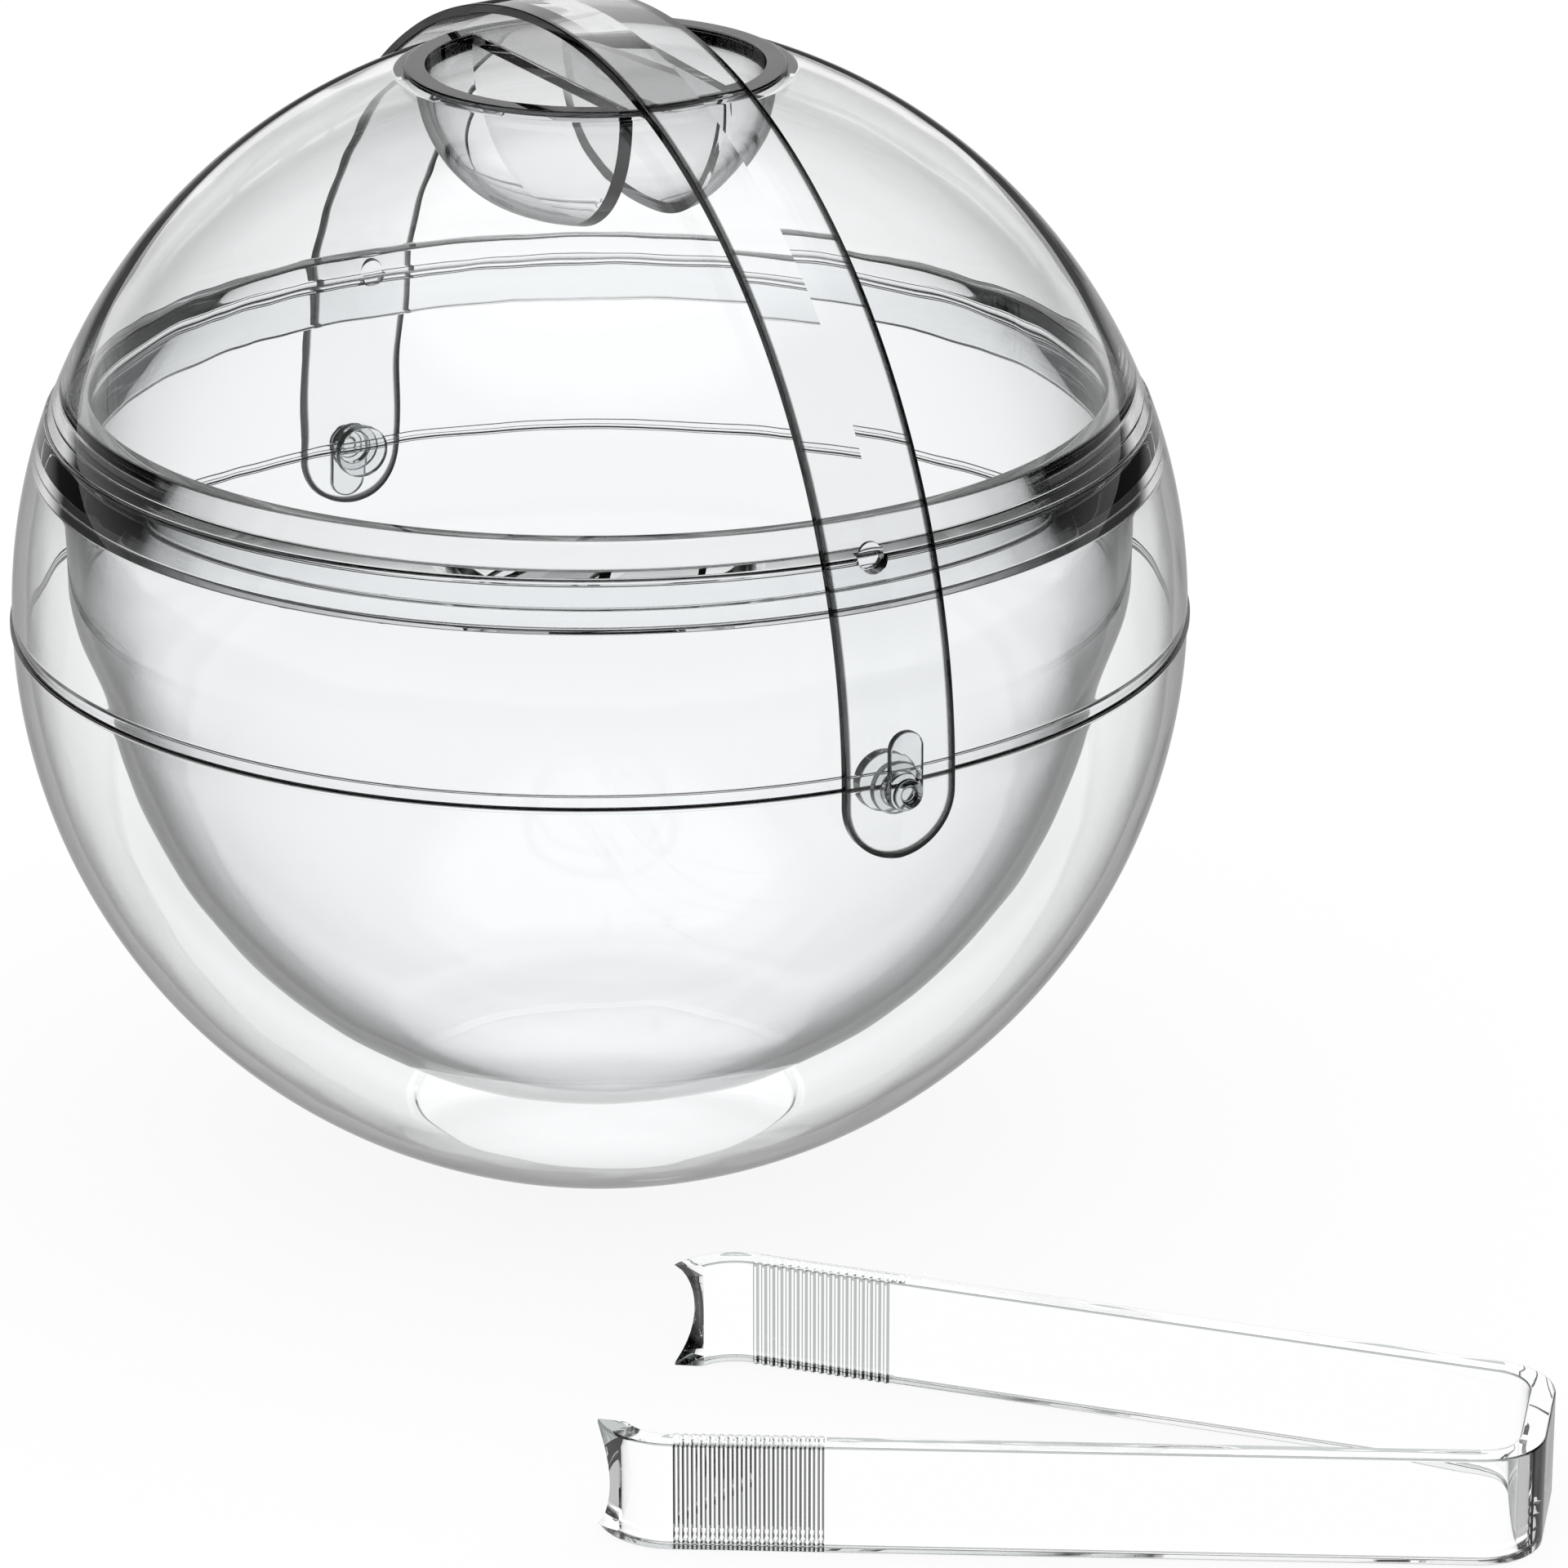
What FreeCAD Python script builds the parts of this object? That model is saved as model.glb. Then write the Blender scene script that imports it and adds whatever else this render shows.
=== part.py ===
"""Ball-shaped double-walled ice bucket in clear acrylic, with a domed lid, a strap handle
and one-piece ice tongs.

The ball is built about its own centre and each piece is then raised by the height of that
centre, so that the origin of the finished part is the middle of the flat base. +X runs along the
handle's pivot line and +Z is up. Lengths are in millimetres and angles in degrees.
"""
import FreeCAD, Part

import math
import os
import re

import Sketcher

# ---------------------------------------------------------------- driving sizes

SIZES = {
    # the ball and its two glued outer shells
    "ball_radius": 105.0,        # outside of the ball
    "base_radius": 35.0,         # of the flat that the ball stands on
    "shell_wall": 2.5,
    "base_thick": 3.0,
    "bead_proud": 0.4,           # bead along the glued seam at the equator
    "bead_tall": 0.5,            # on each side of the seam
    "tongue_tall": 2.0,          # the lower shell's tongue inside the upper shell's rebate
    "tongue_thick": 1.2,
    "glue_gap": 0.05,            # between bonded faces
    # the neck of the upper shell, which carries the bowl and the lid
    "neck_top": 37.6,            # above the ball centre
    "neck_tall": 9.0,
    "neck_wall": 3.25,           # thickness of the neck at its top
    "rebate_deep": 1.6,
    "rebate_wide": 1.6,
    # the inner bowl
    "bowl_gap": 15.0,            # from the outside of the ball to the outside of the bowl
    "bowl_wall": 2.3,
    "floor_radius": 35.0,        # of the flat of its floor
    "bowl_corner": 14.0,         # outside radius between its floor and its side
    "flare_low": 14.0,           # the flare starts this far below the ball centre
    "flare_high": 8.0,           # and ends this far above it
    # the lid
    "lid_setback": 0.4,          # the lid's ball is this much smaller than the body's
    "lid_gap": 0.15,             # under the lid's rim
    "lid_rim_tall": 5.0,
    "lid_rim_thick": 4.7,
    "ring_thick": 3.4,
    "ring_drop": 7.6,            # how far the locating ring reaches into the mouth
    "ring_play": 0.5,            # radial play of the locating ring in the mouth
    "key_radius": 2.4,           # half-round keys that stop the lid from turning
    "key_play": 0.3,
    "key_inset": 0.3,            # from both faces of the lid's rim
    # the finger well in the lid
    "well_radius": 31.3,         # outside of the cup
    "well_wall": 1.5,
    "well_depth": 27.0,          # from the top of the lip to the underside of the cup
    "well_corner": 24.0,         # outside radius between its side and its floor
    "lip_overhang": 2.2,         # how far the lip reaches beyond the cup
    "lip_margin": 1.7,           # flat of the dome left outside the lip
    "lip_thick": 1.1,
    "lip_round": 0.7,            # round of its outer edge
    "bridge_half": 10.1,         # half the width of the bar between the finger pockets
    "bridge_thick": 2.2,
    # the strap handle
    "strap_gap": 1.9,            # between the ball and the inside of the strap
    "strap_width": 21.0,
    "strap_edge": 1.7,           # thickness along its edges
    "strap_ridge": 0.5,          # the crease down its middle stands this much higher
    "strap_tail": 12.0,          # below the pivot
    # the pivot pins
    "pin_radius": 3.2,
    "pin_play": 0.05,            # radial running clearance in the strap
    "flange_radius": 5.2,        # inside the shells
    "flange_thick": 2.0,
    "shoulder_radius": 4.6,      # between the shells and the strap
    "side_play": 0.25,           # between the strap and the faces beside it
    "lug_thick": 1.3,
    "lug_reach": 11.0,           # from the pivot line to the end of the lug
    "pin_end_radius": 2.7,
    "pin_end_proud": 0.8,
    # the tongs
    "tongs_width": 18.7,         # height of the strip as the tongs stand on their edges
    "tongs_strip": 4.2,          # thickness of the strip
    "bow_corner": 11.0,          # outside radius of the bow's corners
    "bow_flat": 8.0,             # flat half of the bow's end
    "arm_splay": 8.3,            # each arm's angle to the middle line
    "arm_length": 129.0,
    "claw_radius": 13.0,
    "claw_turn": 78.0,           # outside of the claw
    "claw_inner_turn": 56.0,
    "scoop_radius": 20.0,        # the hollow in the end of each claw
    "scoop_deep": 2.6,
    "rib_count": 17,             # on the inside of each arm, beside its claw
    "rib_pitch": 1.45,
    "rib_wide": 1.1,
    "rib_tall": 0.5,
    "rib_root": 0.3,             # how far each rib reaches into the strip
    # where the tongs stand, at the middle of their bow's end
    "tongs_x": 221.7,
    "tongs_y": 56.6,
    "tongs_heading": 230.4,      # from the bow to the claws, about +Z from +X
}

doc = FreeCAD.newDocument("ice_bucket")
sheet = doc.addObject("Spreadsheet::Sheet", "dims")
for row, (alias, value) in enumerate(SIZES.items(), start=1):
    sheet.set(f"A{row}", alias)
    sheet.set(f"B{row}", str(value))
    sheet.setAlias(f"B{row}", alias)
doc.recompute()


# ---------------------------------------------------------------- helpers

def tied(text):
    """An expression in which each size's name reads its cell in the sheet."""
    def cell(word):
        return f"dims.{word[0]}" if word[0] in SIZES else word[0]

    return re.sub(r"[a-z]\w*", cell, text)


def worth(text):
    """The present value of an expression."""
    return float(sheet.evalExpression(tied(text)))


def tie(thing, **properties):
    """Binds properties of a document object to expressions of the sizes."""
    for name, text in properties.items():
        thing.setExpression(name, tied(text))
    return thing


def at_height(radius, height):
    """The distance from the axis of a ball's surface at a height above its centre."""
    return f"sqrt(({radius}) ^ 2 - ({height}) ^ 2)"


CENTRE_HEIGHT = at_height("ball_radius", "base_radius")
SHELL_INSIDE = "(ball_radius - shell_wall)"
NECK_RADIUS = f"({at_height('ball_radius', 'neck_top')} - neck_wall)"
PIVOT_HOLE = "pin_radius + glue_gap"


def new_body(label, lift=CENTRE_HEIGHT):
    """An empty body, raised so that its own origin is the ball's centre."""
    body = doc.addObject("PartDesign::Body", label)
    body.Label = label
    return tie(body, **{"Placement.Base.z": lift})


def new_sketch(body, name, plane, offset=None):
    """A sketch on one of the body's own origin planes, which offset shifts along its normal."""
    sketch = body.newObject("Sketcher::SketchObject", name)
    face = next(f for f in body.Origin.OriginFeatures if f.Role == plane)
    sketch.AttachmentSupport = [(face, "")]
    sketch.MapMode = "FlatFace"
    if offset:
        sketch.setExpression("AttachmentOffset.Base.z", tied(offset))
    return sketch


def pin_point(sketch, edge, end, x=None, y=None):
    """Ties one end of a sketch edge to an x and a y."""
    for kind, text in (("DistanceX", x), ("DistanceY", y)):
        if text is not None:
            index = sketch.addConstraint(Sketcher.Constraint(kind, -1, 1, edge, end, worth(text)))
            sketch.setExpression(f"Constraints[{index}]", tied(text))


def add_arc(sketch, centre, radius, start, finish, centred=True):
    """A counter-clockwise arc between two points, with its radius and, if centred, its centre tied."""
    cx, cy = worth(centre[0]), worth(centre[1])
    angles = [math.atan2(worth(p[1]) - cy, worth(p[0]) - cx) for p in (start, finish)]
    circle = Part.Circle(FreeCAD.Vector(cx, cy, 0), FreeCAD.Vector(0, 0, 1), worth(radius))
    edge = sketch.addGeometry(Part.ArcOfCircle(circle, *angles), False)
    if centred:
        pin_point(sketch, edge, 3, *centre)
    index = sketch.addConstraint(Sketcher.Constraint("Radius", edge, worth(radius)))
    sketch.setExpression(f"Constraints[{index}]", tied(radius))
    return edge


def draw(sketch, corners, arcs=None, smooth=()):
    """Draws a closed outline.

    corners holds (x, y) or (x, y, tied axes): a corner on an arc ties one axis only, because
    the arc gives the other. arcs maps the number of the corner where an arc starts to
    (centre, radius, turn), and turn is +1 for counter-clockwise and -1 for clockwise. The
    arcs numbered in smooth touch both their neighbours, which places their centre.
    """
    arcs = arcs or {}
    count = len(corners)
    ends = []
    for number, corner in enumerate(corners):
        follow = corners[(number + 1) % count]
        if number in arcs:
            centre, radius, turn = arcs[number]
            start, finish = (corner, follow) if turn > 0 else (follow, corner)
            edge = add_arc(sketch, centre, radius, start, finish, centred=number not in smooth)
            ends.append((edge, 1, 2) if turn > 0 else (edge, 2, 1))
        else:
            points = [FreeCAD.Vector(worth(p[0]), worth(p[1]), 0) for p in (corner, follow)]
            edge = sketch.addGeometry(Part.LineSegment(*points), False)
            ends.append((edge, 1, 2))
    for number, corner in enumerate(corners):
        edge, first, _ = ends[number]
        before, _, last = ends[number - 1]
        meets = "Tangent" if {number, (number - 1) % count} & set(smooth) else "Coincident"
        sketch.addConstraint(Sketcher.Constraint(meets, before, last, edge, first))
        axes = corner[2] if len(corner) > 2 else "xy"
        x = corner[0] if "x" in axes else None
        y = corner[1] if "y" in axes else None
        pin_point(sketch, edge, first, x, y)


def add_circle(sketch, radius, x="0", y="0"):
    """A full circle with its centre and radius tied."""
    centre = FreeCAD.Vector(worth(x), worth(y), 0)
    edge = sketch.addGeometry(Part.Circle(centre, FreeCAD.Vector(0, 0, 1), worth(radius)), False)
    pin_point(sketch, edge, 3, x, y)
    index = sketch.addConstraint(Sketcher.Constraint("Radius", edge, worth(radius)))
    sketch.setExpression(f"Constraints[{index}]", tied(radius))


def turn(body, sketch, name, axis="V_Axis", angle="360"):
    """Turns a sketch about one of its own axes."""
    feature = body.newObject("PartDesign::Revolution", name)
    feature.Profile = sketch
    feature.ReferenceAxis = (sketch, [axis])
    return tie(feature, Angle=angle)


def pad(body, sketch, name, length, both_ways=True):
    """Extrudes a sketch, half to each side of its plane unless both_ways is false."""
    feature = body.newObject("PartDesign::Pad", name)
    feature.Profile = sketch
    feature.Midplane = both_ways
    return tie(feature, Length=length)


def cut_through(body, sketch, name):
    """Cuts a sketch through the whole body, to both sides of its plane."""
    feature = body.newObject("PartDesign::Pocket", name)
    feature.Profile = sketch
    feature.Midplane = True
    return tie(feature, Length="4 * ball_radius")


# ---------------------------------------------------------------- outer shells

def make_lower_shell():
    """The ball below its equator: a flat base, a bead and a tongue along the seam."""
    body = new_body("lower_shell")
    sketch = new_sketch(body, "lower_shell_profile", "XZ_Plane")
    inside = SHELL_INSIDE
    floor = f"({CENTRE_HEIGHT} - base_thick)"
    draw(sketch, [
        ("0", f"-{CENTRE_HEIGHT}"),
        ("base_radius", f"-{CENTRE_HEIGHT}", "x"),
        (at_height("ball_radius", "bead_tall"), "-bead_tall", "y"),
        ("ball_radius + bead_proud", "-bead_tall"),
        ("ball_radius + bead_proud", "0"),
        (f"{inside} + tongue_thick", "0"),
        (f"{inside} + tongue_thick", "tongue_tall"),
        (inside, "tongue_tall"),
        (inside, "0", "y"),
        (at_height(inside, floor), f"-{floor}", "y"),
        ("0", f"-{floor}"),
    ], arcs={
        1: (("0", "0"), "ball_radius", 1),
        8: (("0", "0"), inside, -1),
    })
    turn(body, sketch, "lower_shell_turned")
    hole = new_sketch(body, "lower_shell_pivot_hole", "YZ_Plane")
    add_circle(hole, PIVOT_HOLE)
    cut_through(body, hole, "lower_shell_pivot_cut")
    return body


def make_upper_shell():
    """The ball from its equator to the lid: seam rebate below, thick neck above."""
    body = new_body("upper_shell")
    sketch = new_sketch(body, "upper_shell_profile", "XZ_Plane")
    inside = SHELL_INSIDE
    rebate = f"{inside} + tongue_thick + glue_gap"
    neck_foot = "neck_top - neck_tall"
    draw(sketch, [
        (rebate, "0"),
        ("ball_radius + bead_proud", "0"),
        ("ball_radius + bead_proud", "bead_tall"),
        (at_height("ball_radius", "bead_tall"), "bead_tall", "y"),
        (at_height("ball_radius", "neck_top"), "neck_top", "y"),
        (f"{NECK_RADIUS} + rebate_wide", "neck_top"),
        (f"{NECK_RADIUS} + rebate_wide", "neck_top - rebate_deep"),
        (NECK_RADIUS, "neck_top - rebate_deep"),
        (NECK_RADIUS, neck_foot),
        (at_height(inside, neck_foot), neck_foot, "y"),
        (at_height(inside, "tongue_tall + glue_gap"), "tongue_tall + glue_gap", "y"),
        (rebate, "tongue_tall + glue_gap"),
    ], arcs={
        3: (("0", "0"), "ball_radius", 1),
        9: (("0", "0"), inside, -1),
    })
    turn(body, sketch, "upper_shell_turned")
    hole = new_sketch(body, "upper_shell_pivot_hole", "YZ_Plane")
    add_circle(hole, PIVOT_HOLE)
    cut_through(body, hole, "upper_shell_pivot_cut")
    cut_key_notches(body)
    return body


def cut_key_notches(body):
    """Half-round notches in the rim, at both ends of the pivot line, for the lid's keys."""
    sketch = new_sketch(body, f"{body.Name}_key_notch", "YZ_Plane")
    add_circle(sketch, "key_radius + key_play", "0", "neck_top")
    cut_through(body, sketch, f"{body.Name}_key_cut")


# ---------------------------------------------------------------- inner bowl

def make_inner_bowl():
    """The bowl that holds the ice: flat floor, round side, flare and a rim in the neck's rebate."""
    body = new_body("inner_bowl")
    sketch = new_sketch(body, "inner_bowl_profile", "XZ_Plane")
    outer, inner = "(ball_radius - bowl_gap)", "(ball_radius - bowl_gap - bowl_wall)"
    # the corner arc touches both the floor and the round side
    corner_high = at_height(f"{outer} - bowl_corner", "floor_radius")
    corner_low = f"-({corner_high} + bowl_corner)"
    share_out = f"{outer} / ({outer} - bowl_corner)"
    share_in = f"{inner} / ({outer} - bowl_corner)"
    mouth_out = f"({NECK_RADIUS} - glue_gap)"
    mouth_in = f"({mouth_out} - bowl_wall)"
    rim_out = f"{NECK_RADIUS} + rebate_wide - glue_gap"
    rim_low = "neck_top - rebate_deep + glue_gap"
    draw(sketch, [
        ("0", corner_low),
        ("floor_radius", corner_low, "y"),
        (f"floor_radius * {share_out}", f"-{corner_high} * {share_out}", ""),
        (at_height(outer, "flare_low"), "-flare_low", "y"),
        (mouth_out, "flare_high"),
        (mouth_out, rim_low),
        (rim_out, rim_low),
        (rim_out, "neck_top"),
        (mouth_in, "neck_top"),
        (mouth_in, "flare_high"),
        (at_height(inner, "flare_low"), "-flare_low", "y"),
        (f"floor_radius * {share_in}", f"-{corner_high} * {share_in}", ""),
        ("floor_radius", f"{corner_low} + bowl_wall", "y"),
        ("0", f"{corner_low} + bowl_wall"),
    ], arcs={
        1: (("floor_radius", f"-{corner_high}"), "bowl_corner", 1),
        2: (("0", "0"), outer, 1),
        10: (("0", "0"), inner, -1),
        11: (("floor_radius", f"-{corner_high}"), "bowl_corner - bowl_wall", -1),
    }, smooth=(1, 11))
    turn(body, sketch, "inner_bowl_turned")
    cut_key_notches(body)
    return body


# ---------------------------------------------------------------- lid

LID_OUTSIDE = "(ball_radius - lid_setback)"
LID_INSIDE = "(ball_radius - lid_setback - shell_wall)"
LID_FOOT = "(neck_top + lid_gap)"
LID_RIM_TOP = "(neck_top + lid_gap + lid_rim_tall)"
LID_RIM_INSIDE = f"({at_height(LID_OUTSIDE, LID_FOOT)} - lid_rim_thick)"
LIP_RADIUS = "(well_radius + lip_overhang)"
LIP_SEAT = at_height(LID_OUTSIDE, f"{LIP_RADIUS} + lip_margin")
LIP_TOP = f"({LIP_SEAT} + lip_thick)"


def make_lid_dome():
    """The lid's dome, with a thick rim below, keys under it and a hole for the finger well."""
    body = new_body("lid_dome")
    sketch = new_sketch(body, "lid_dome_profile", "XZ_Plane")
    hole = "well_radius + glue_gap"
    draw(sketch, [
        (LID_RIM_INSIDE, LID_FOOT),
        (at_height(LID_OUTSIDE, LID_FOOT), LID_FOOT, "y"),
        (f"{LIP_RADIUS} + lip_margin", LIP_SEAT, "x"),
        (hole, LIP_SEAT),
        (hole, at_height(LID_INSIDE, hole), "x"),
        (at_height(LID_INSIDE, LID_RIM_TOP), LID_RIM_TOP, "y"),
        (LID_RIM_INSIDE, LID_RIM_TOP),
    ], arcs={
        1: (("0", "0"), LID_OUTSIDE, 1),
        4: (("0", "0"), LID_INSIDE, -1),
    })
    turn(body, sketch, "lid_dome_turned")
    key = new_sketch(body, "lid_key_profile", "YZ_Plane", offset=f"{LID_RIM_INSIDE} + key_inset")
    add_circle(key, "key_radius", "0", LID_FOOT)
    front = pad(body, key, "lid_key", "lid_rim_thick - 2 * key_inset", both_ways=False)
    both = body.newObject("PartDesign::Mirrored", "lid_key_pair")
    both.Originals = [front]
    both.MirrorPlane = (next(f for f in body.Origin.OriginFeatures if f.Role == "YZ_Plane"), [""])
    body.Tip = both
    return body


def make_lid_ring():
    """The ring bonded inside the lid's rim, which drops into the mouth and centres the lid."""
    body = new_body("lid_ring")
    sketch = new_sketch(body, "lid_ring_profile", "XZ_Plane")
    seat = f"{LID_RIM_INSIDE} - glue_gap"
    inside = f"{seat} - ring_thick"
    skirt = f"{NECK_RADIUS} - glue_gap - bowl_wall - ring_play"
    draw(sketch, [
        (inside, "neck_top - ring_drop"),
        (skirt, "neck_top - ring_drop"),
        (skirt, LID_FOOT),
        (seat, LID_FOOT),
        (seat, LID_RIM_TOP),
        (inside, LID_RIM_TOP),
    ])
    turn(body, sketch, "lid_ring_turned")
    return body


def make_finger_well():
    """The grip in the lid: a round cup parted by a bar, which leaves two pockets for the fingers."""
    def add(kind, name, **properties):
        return tie(doc.addObject(kind, name), **properties)

    def turned(name, corners, arcs):
        sketch = doc.addObject("Sketcher::SketchObject", f"{name}_profile")
        sketch.Placement.Rotation = FreeCAD.Rotation(FreeCAD.Vector(1, 0, 0), 90.0)
        draw(sketch, corners, arcs)
        solid = doc.addObject("Part::Revolution", name)
        solid.Source = sketch
        solid.Axis = FreeCAD.Vector(0, 0, 1)
        solid.Solid = True
        return solid

    def cup(name, shrink):
        side, floor = f"well_radius - {shrink}", f"{LIP_TOP} - well_depth + {shrink}"
        centre = ("well_radius - well_corner", f"{LIP_TOP} - well_depth + well_corner")
        return turned(name, [
            ("0", floor),
            (centre[0], floor, "x"),
            (side, centre[1], "y"),
            (side, LIP_TOP),
            ("0", LIP_TOP),
        ], {1: (centre, f"well_corner - {shrink}", 1)})

    def block(name, length, width, height, low):
        return add("Part::Box", name, Length=length, Width=width, Height=height,
                   **{"Placement.Base.x": f"-({length}) / 2", "Placement.Base.y": f"-({width}) / 2",
                      "Placement.Base.z": low})

    def combine(kind, name, base, tool):
        result = doc.addObject(kind, name)
        result.Base, result.Tool = base, tool
        return result

    outside = cup("well_outside", "0")
    inside = cup("well_inside", "well_wall")
    lip = turned("well_lip", [
        ("0", LIP_SEAT),
        (LIP_RADIUS, LIP_SEAT),
        (LIP_RADIUS, f"{LIP_TOP} - lip_round", "y"),
        (f"{LIP_RADIUS} - lip_round", LIP_TOP, "x"),
        ("0", LIP_TOP),
    ], {2: ((f"{LIP_RADIUS} - lip_round", f"{LIP_TOP} - lip_round"), "lip_round", 1)})
    # the bar between the pockets stays, and the tunnel hollows it from below
    bar = block("well_bar", "3 * well_radius", "2 * bridge_half", "3 * well_depth",
                f"{LIP_TOP} - 2 * well_depth")
    tunnel = block("well_tunnel", "3 * well_radius", "2 * (bridge_half - well_wall)", "2 * well_depth",
                   f"{LIP_TOP} - bridge_thick - 2 * well_depth")
    solid = combine("Part::Fuse", "well_solid", outside, lip)
    pockets = combine("Part::Cut", "well_pockets", inside, bar)
    cups = combine("Part::Cut", "well_cups", solid, pockets)
    well = combine("Part::Cut", "finger_well", cups, tunnel)
    well.Label = "finger_well"
    return tie(well, **{"Placement.Base.z": CENTRE_HEIGHT})


# ---------------------------------------------------------------- handle

STRAP_INSIDE = "(ball_radius + strap_gap)"
STRAP_CREST = f"({STRAP_INSIDE} + strap_edge + strap_ridge)"


def make_handle_strap():
    """The strap: a shallow roof section bent over the ball, with round ends and pivot holes.

    It is drawn from the crown to the front pivot, and its back half mirrors that.
    """
    body = new_body("strap_front_half")
    sketch = new_sketch(body, "strap_section", "YZ_Plane")
    half = "strap_width / 2"
    draw(sketch, [
        (f"-{half}", STRAP_INSIDE),
        (half, STRAP_INSIDE),
        (half, f"{STRAP_INSIDE} + strap_edge"),
        ("0", STRAP_CREST),
        (f"-{half}", f"{STRAP_INSIDE} + strap_edge"),
    ])
    turn(body, sketch, "strap_bent", axis="H_Axis",
         angle="90 + asin((strap_tail + strap_edge) / ball_radius) / 1deg")
    ends = new_sketch(body, "strap_end_outline", "YZ_Plane")
    shoulder = "-(strap_tail - strap_width / 2)"
    draw(ends, [
        (f"-{half}", shoulder, "y"),
        ("-strap_width", shoulder),
        ("-strap_width", "-2 * strap_tail"),
        ("strap_width", "-2 * strap_tail"),
        ("strap_width", shoulder),
        (half, shoulder, "y"),
    ], arcs={5: (("0", shoulder), half, -1)})
    cut_through(body, ends, "strap_ends_cut")
    hole = new_sketch(body, "strap_pivot_hole", "YZ_Plane")
    add_circle(hole, "pin_radius + pin_play")
    cut_through(body, hole, "strap_pivot_cut")
    back = doc.addObject("Part::Mirroring", "strap_back_half")
    back.Source = body
    back.Normal = FreeCAD.Vector(1, 0, 0)
    strap = doc.addObject("Part::Compound", "handle_strap")
    strap.Links = [body, back]
    strap.Label = "handle_strap"
    return strap


def make_pivot_pin(label, far_side):
    """A pin held in the seam by its flange, with a shoulder under the strap and a lug over it."""
    body = new_body(label)
    if far_side:
        body.Placement.Rotation = FreeCAD.Rotation(FreeCAD.Vector(0, 1, 0), 180.0)
    sketch = new_sketch(body, f"{label}_profile", "XZ_Plane")
    flange_out = f"{at_height(SHELL_INSIDE, 'flange_radius')} - glue_gap"
    shoulder_in = "ball_radius + bead_proud + glue_gap"
    shoulder_out = f"{at_height(STRAP_INSIDE, 'shoulder_radius')} - side_play / 2"
    lug_in = f"{STRAP_CREST} + side_play"
    end_in = f"{lug_in} + lug_thick"
    draw(sketch, [
        (f"{flange_out} - flange_thick", "0"),
        (f"{end_in} + pin_end_proud", "0"),
        (f"{end_in} + pin_end_proud", "pin_end_radius"),
        (end_in, "pin_end_radius"),
        (end_in, "pin_radius"),
        (shoulder_out, "pin_radius"),
        (shoulder_out, "shoulder_radius"),
        (shoulder_in, "shoulder_radius"),
        (shoulder_in, "pin_radius"),
        (flange_out, "pin_radius"),
        (flange_out, "flange_radius"),
        (f"{flange_out} - flange_thick", "flange_radius"),
    ])
    turn(body, sketch, f"{label}_turned", axis="H_Axis")
    lug = new_sketch(body, f"{label}_lug_outline", "YZ_Plane", offset=lug_in)
    tip = "lug_reach - pin_radius"
    draw(lug, [
        ("pin_radius", "0", "y"),
        ("pin_radius", tip, "y"),
        ("-pin_radius", tip, "y"),
        ("-pin_radius", "0", "y"),
    ], arcs={
        1: (("0", tip), "pin_radius", 1),
        3: (("0", "0"), "pin_radius", 1),
    })
    pad(body, lug, f"{label}_lug", "lug_thick", both_ways=False)
    return body


# ---------------------------------------------------------------- tongs

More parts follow.
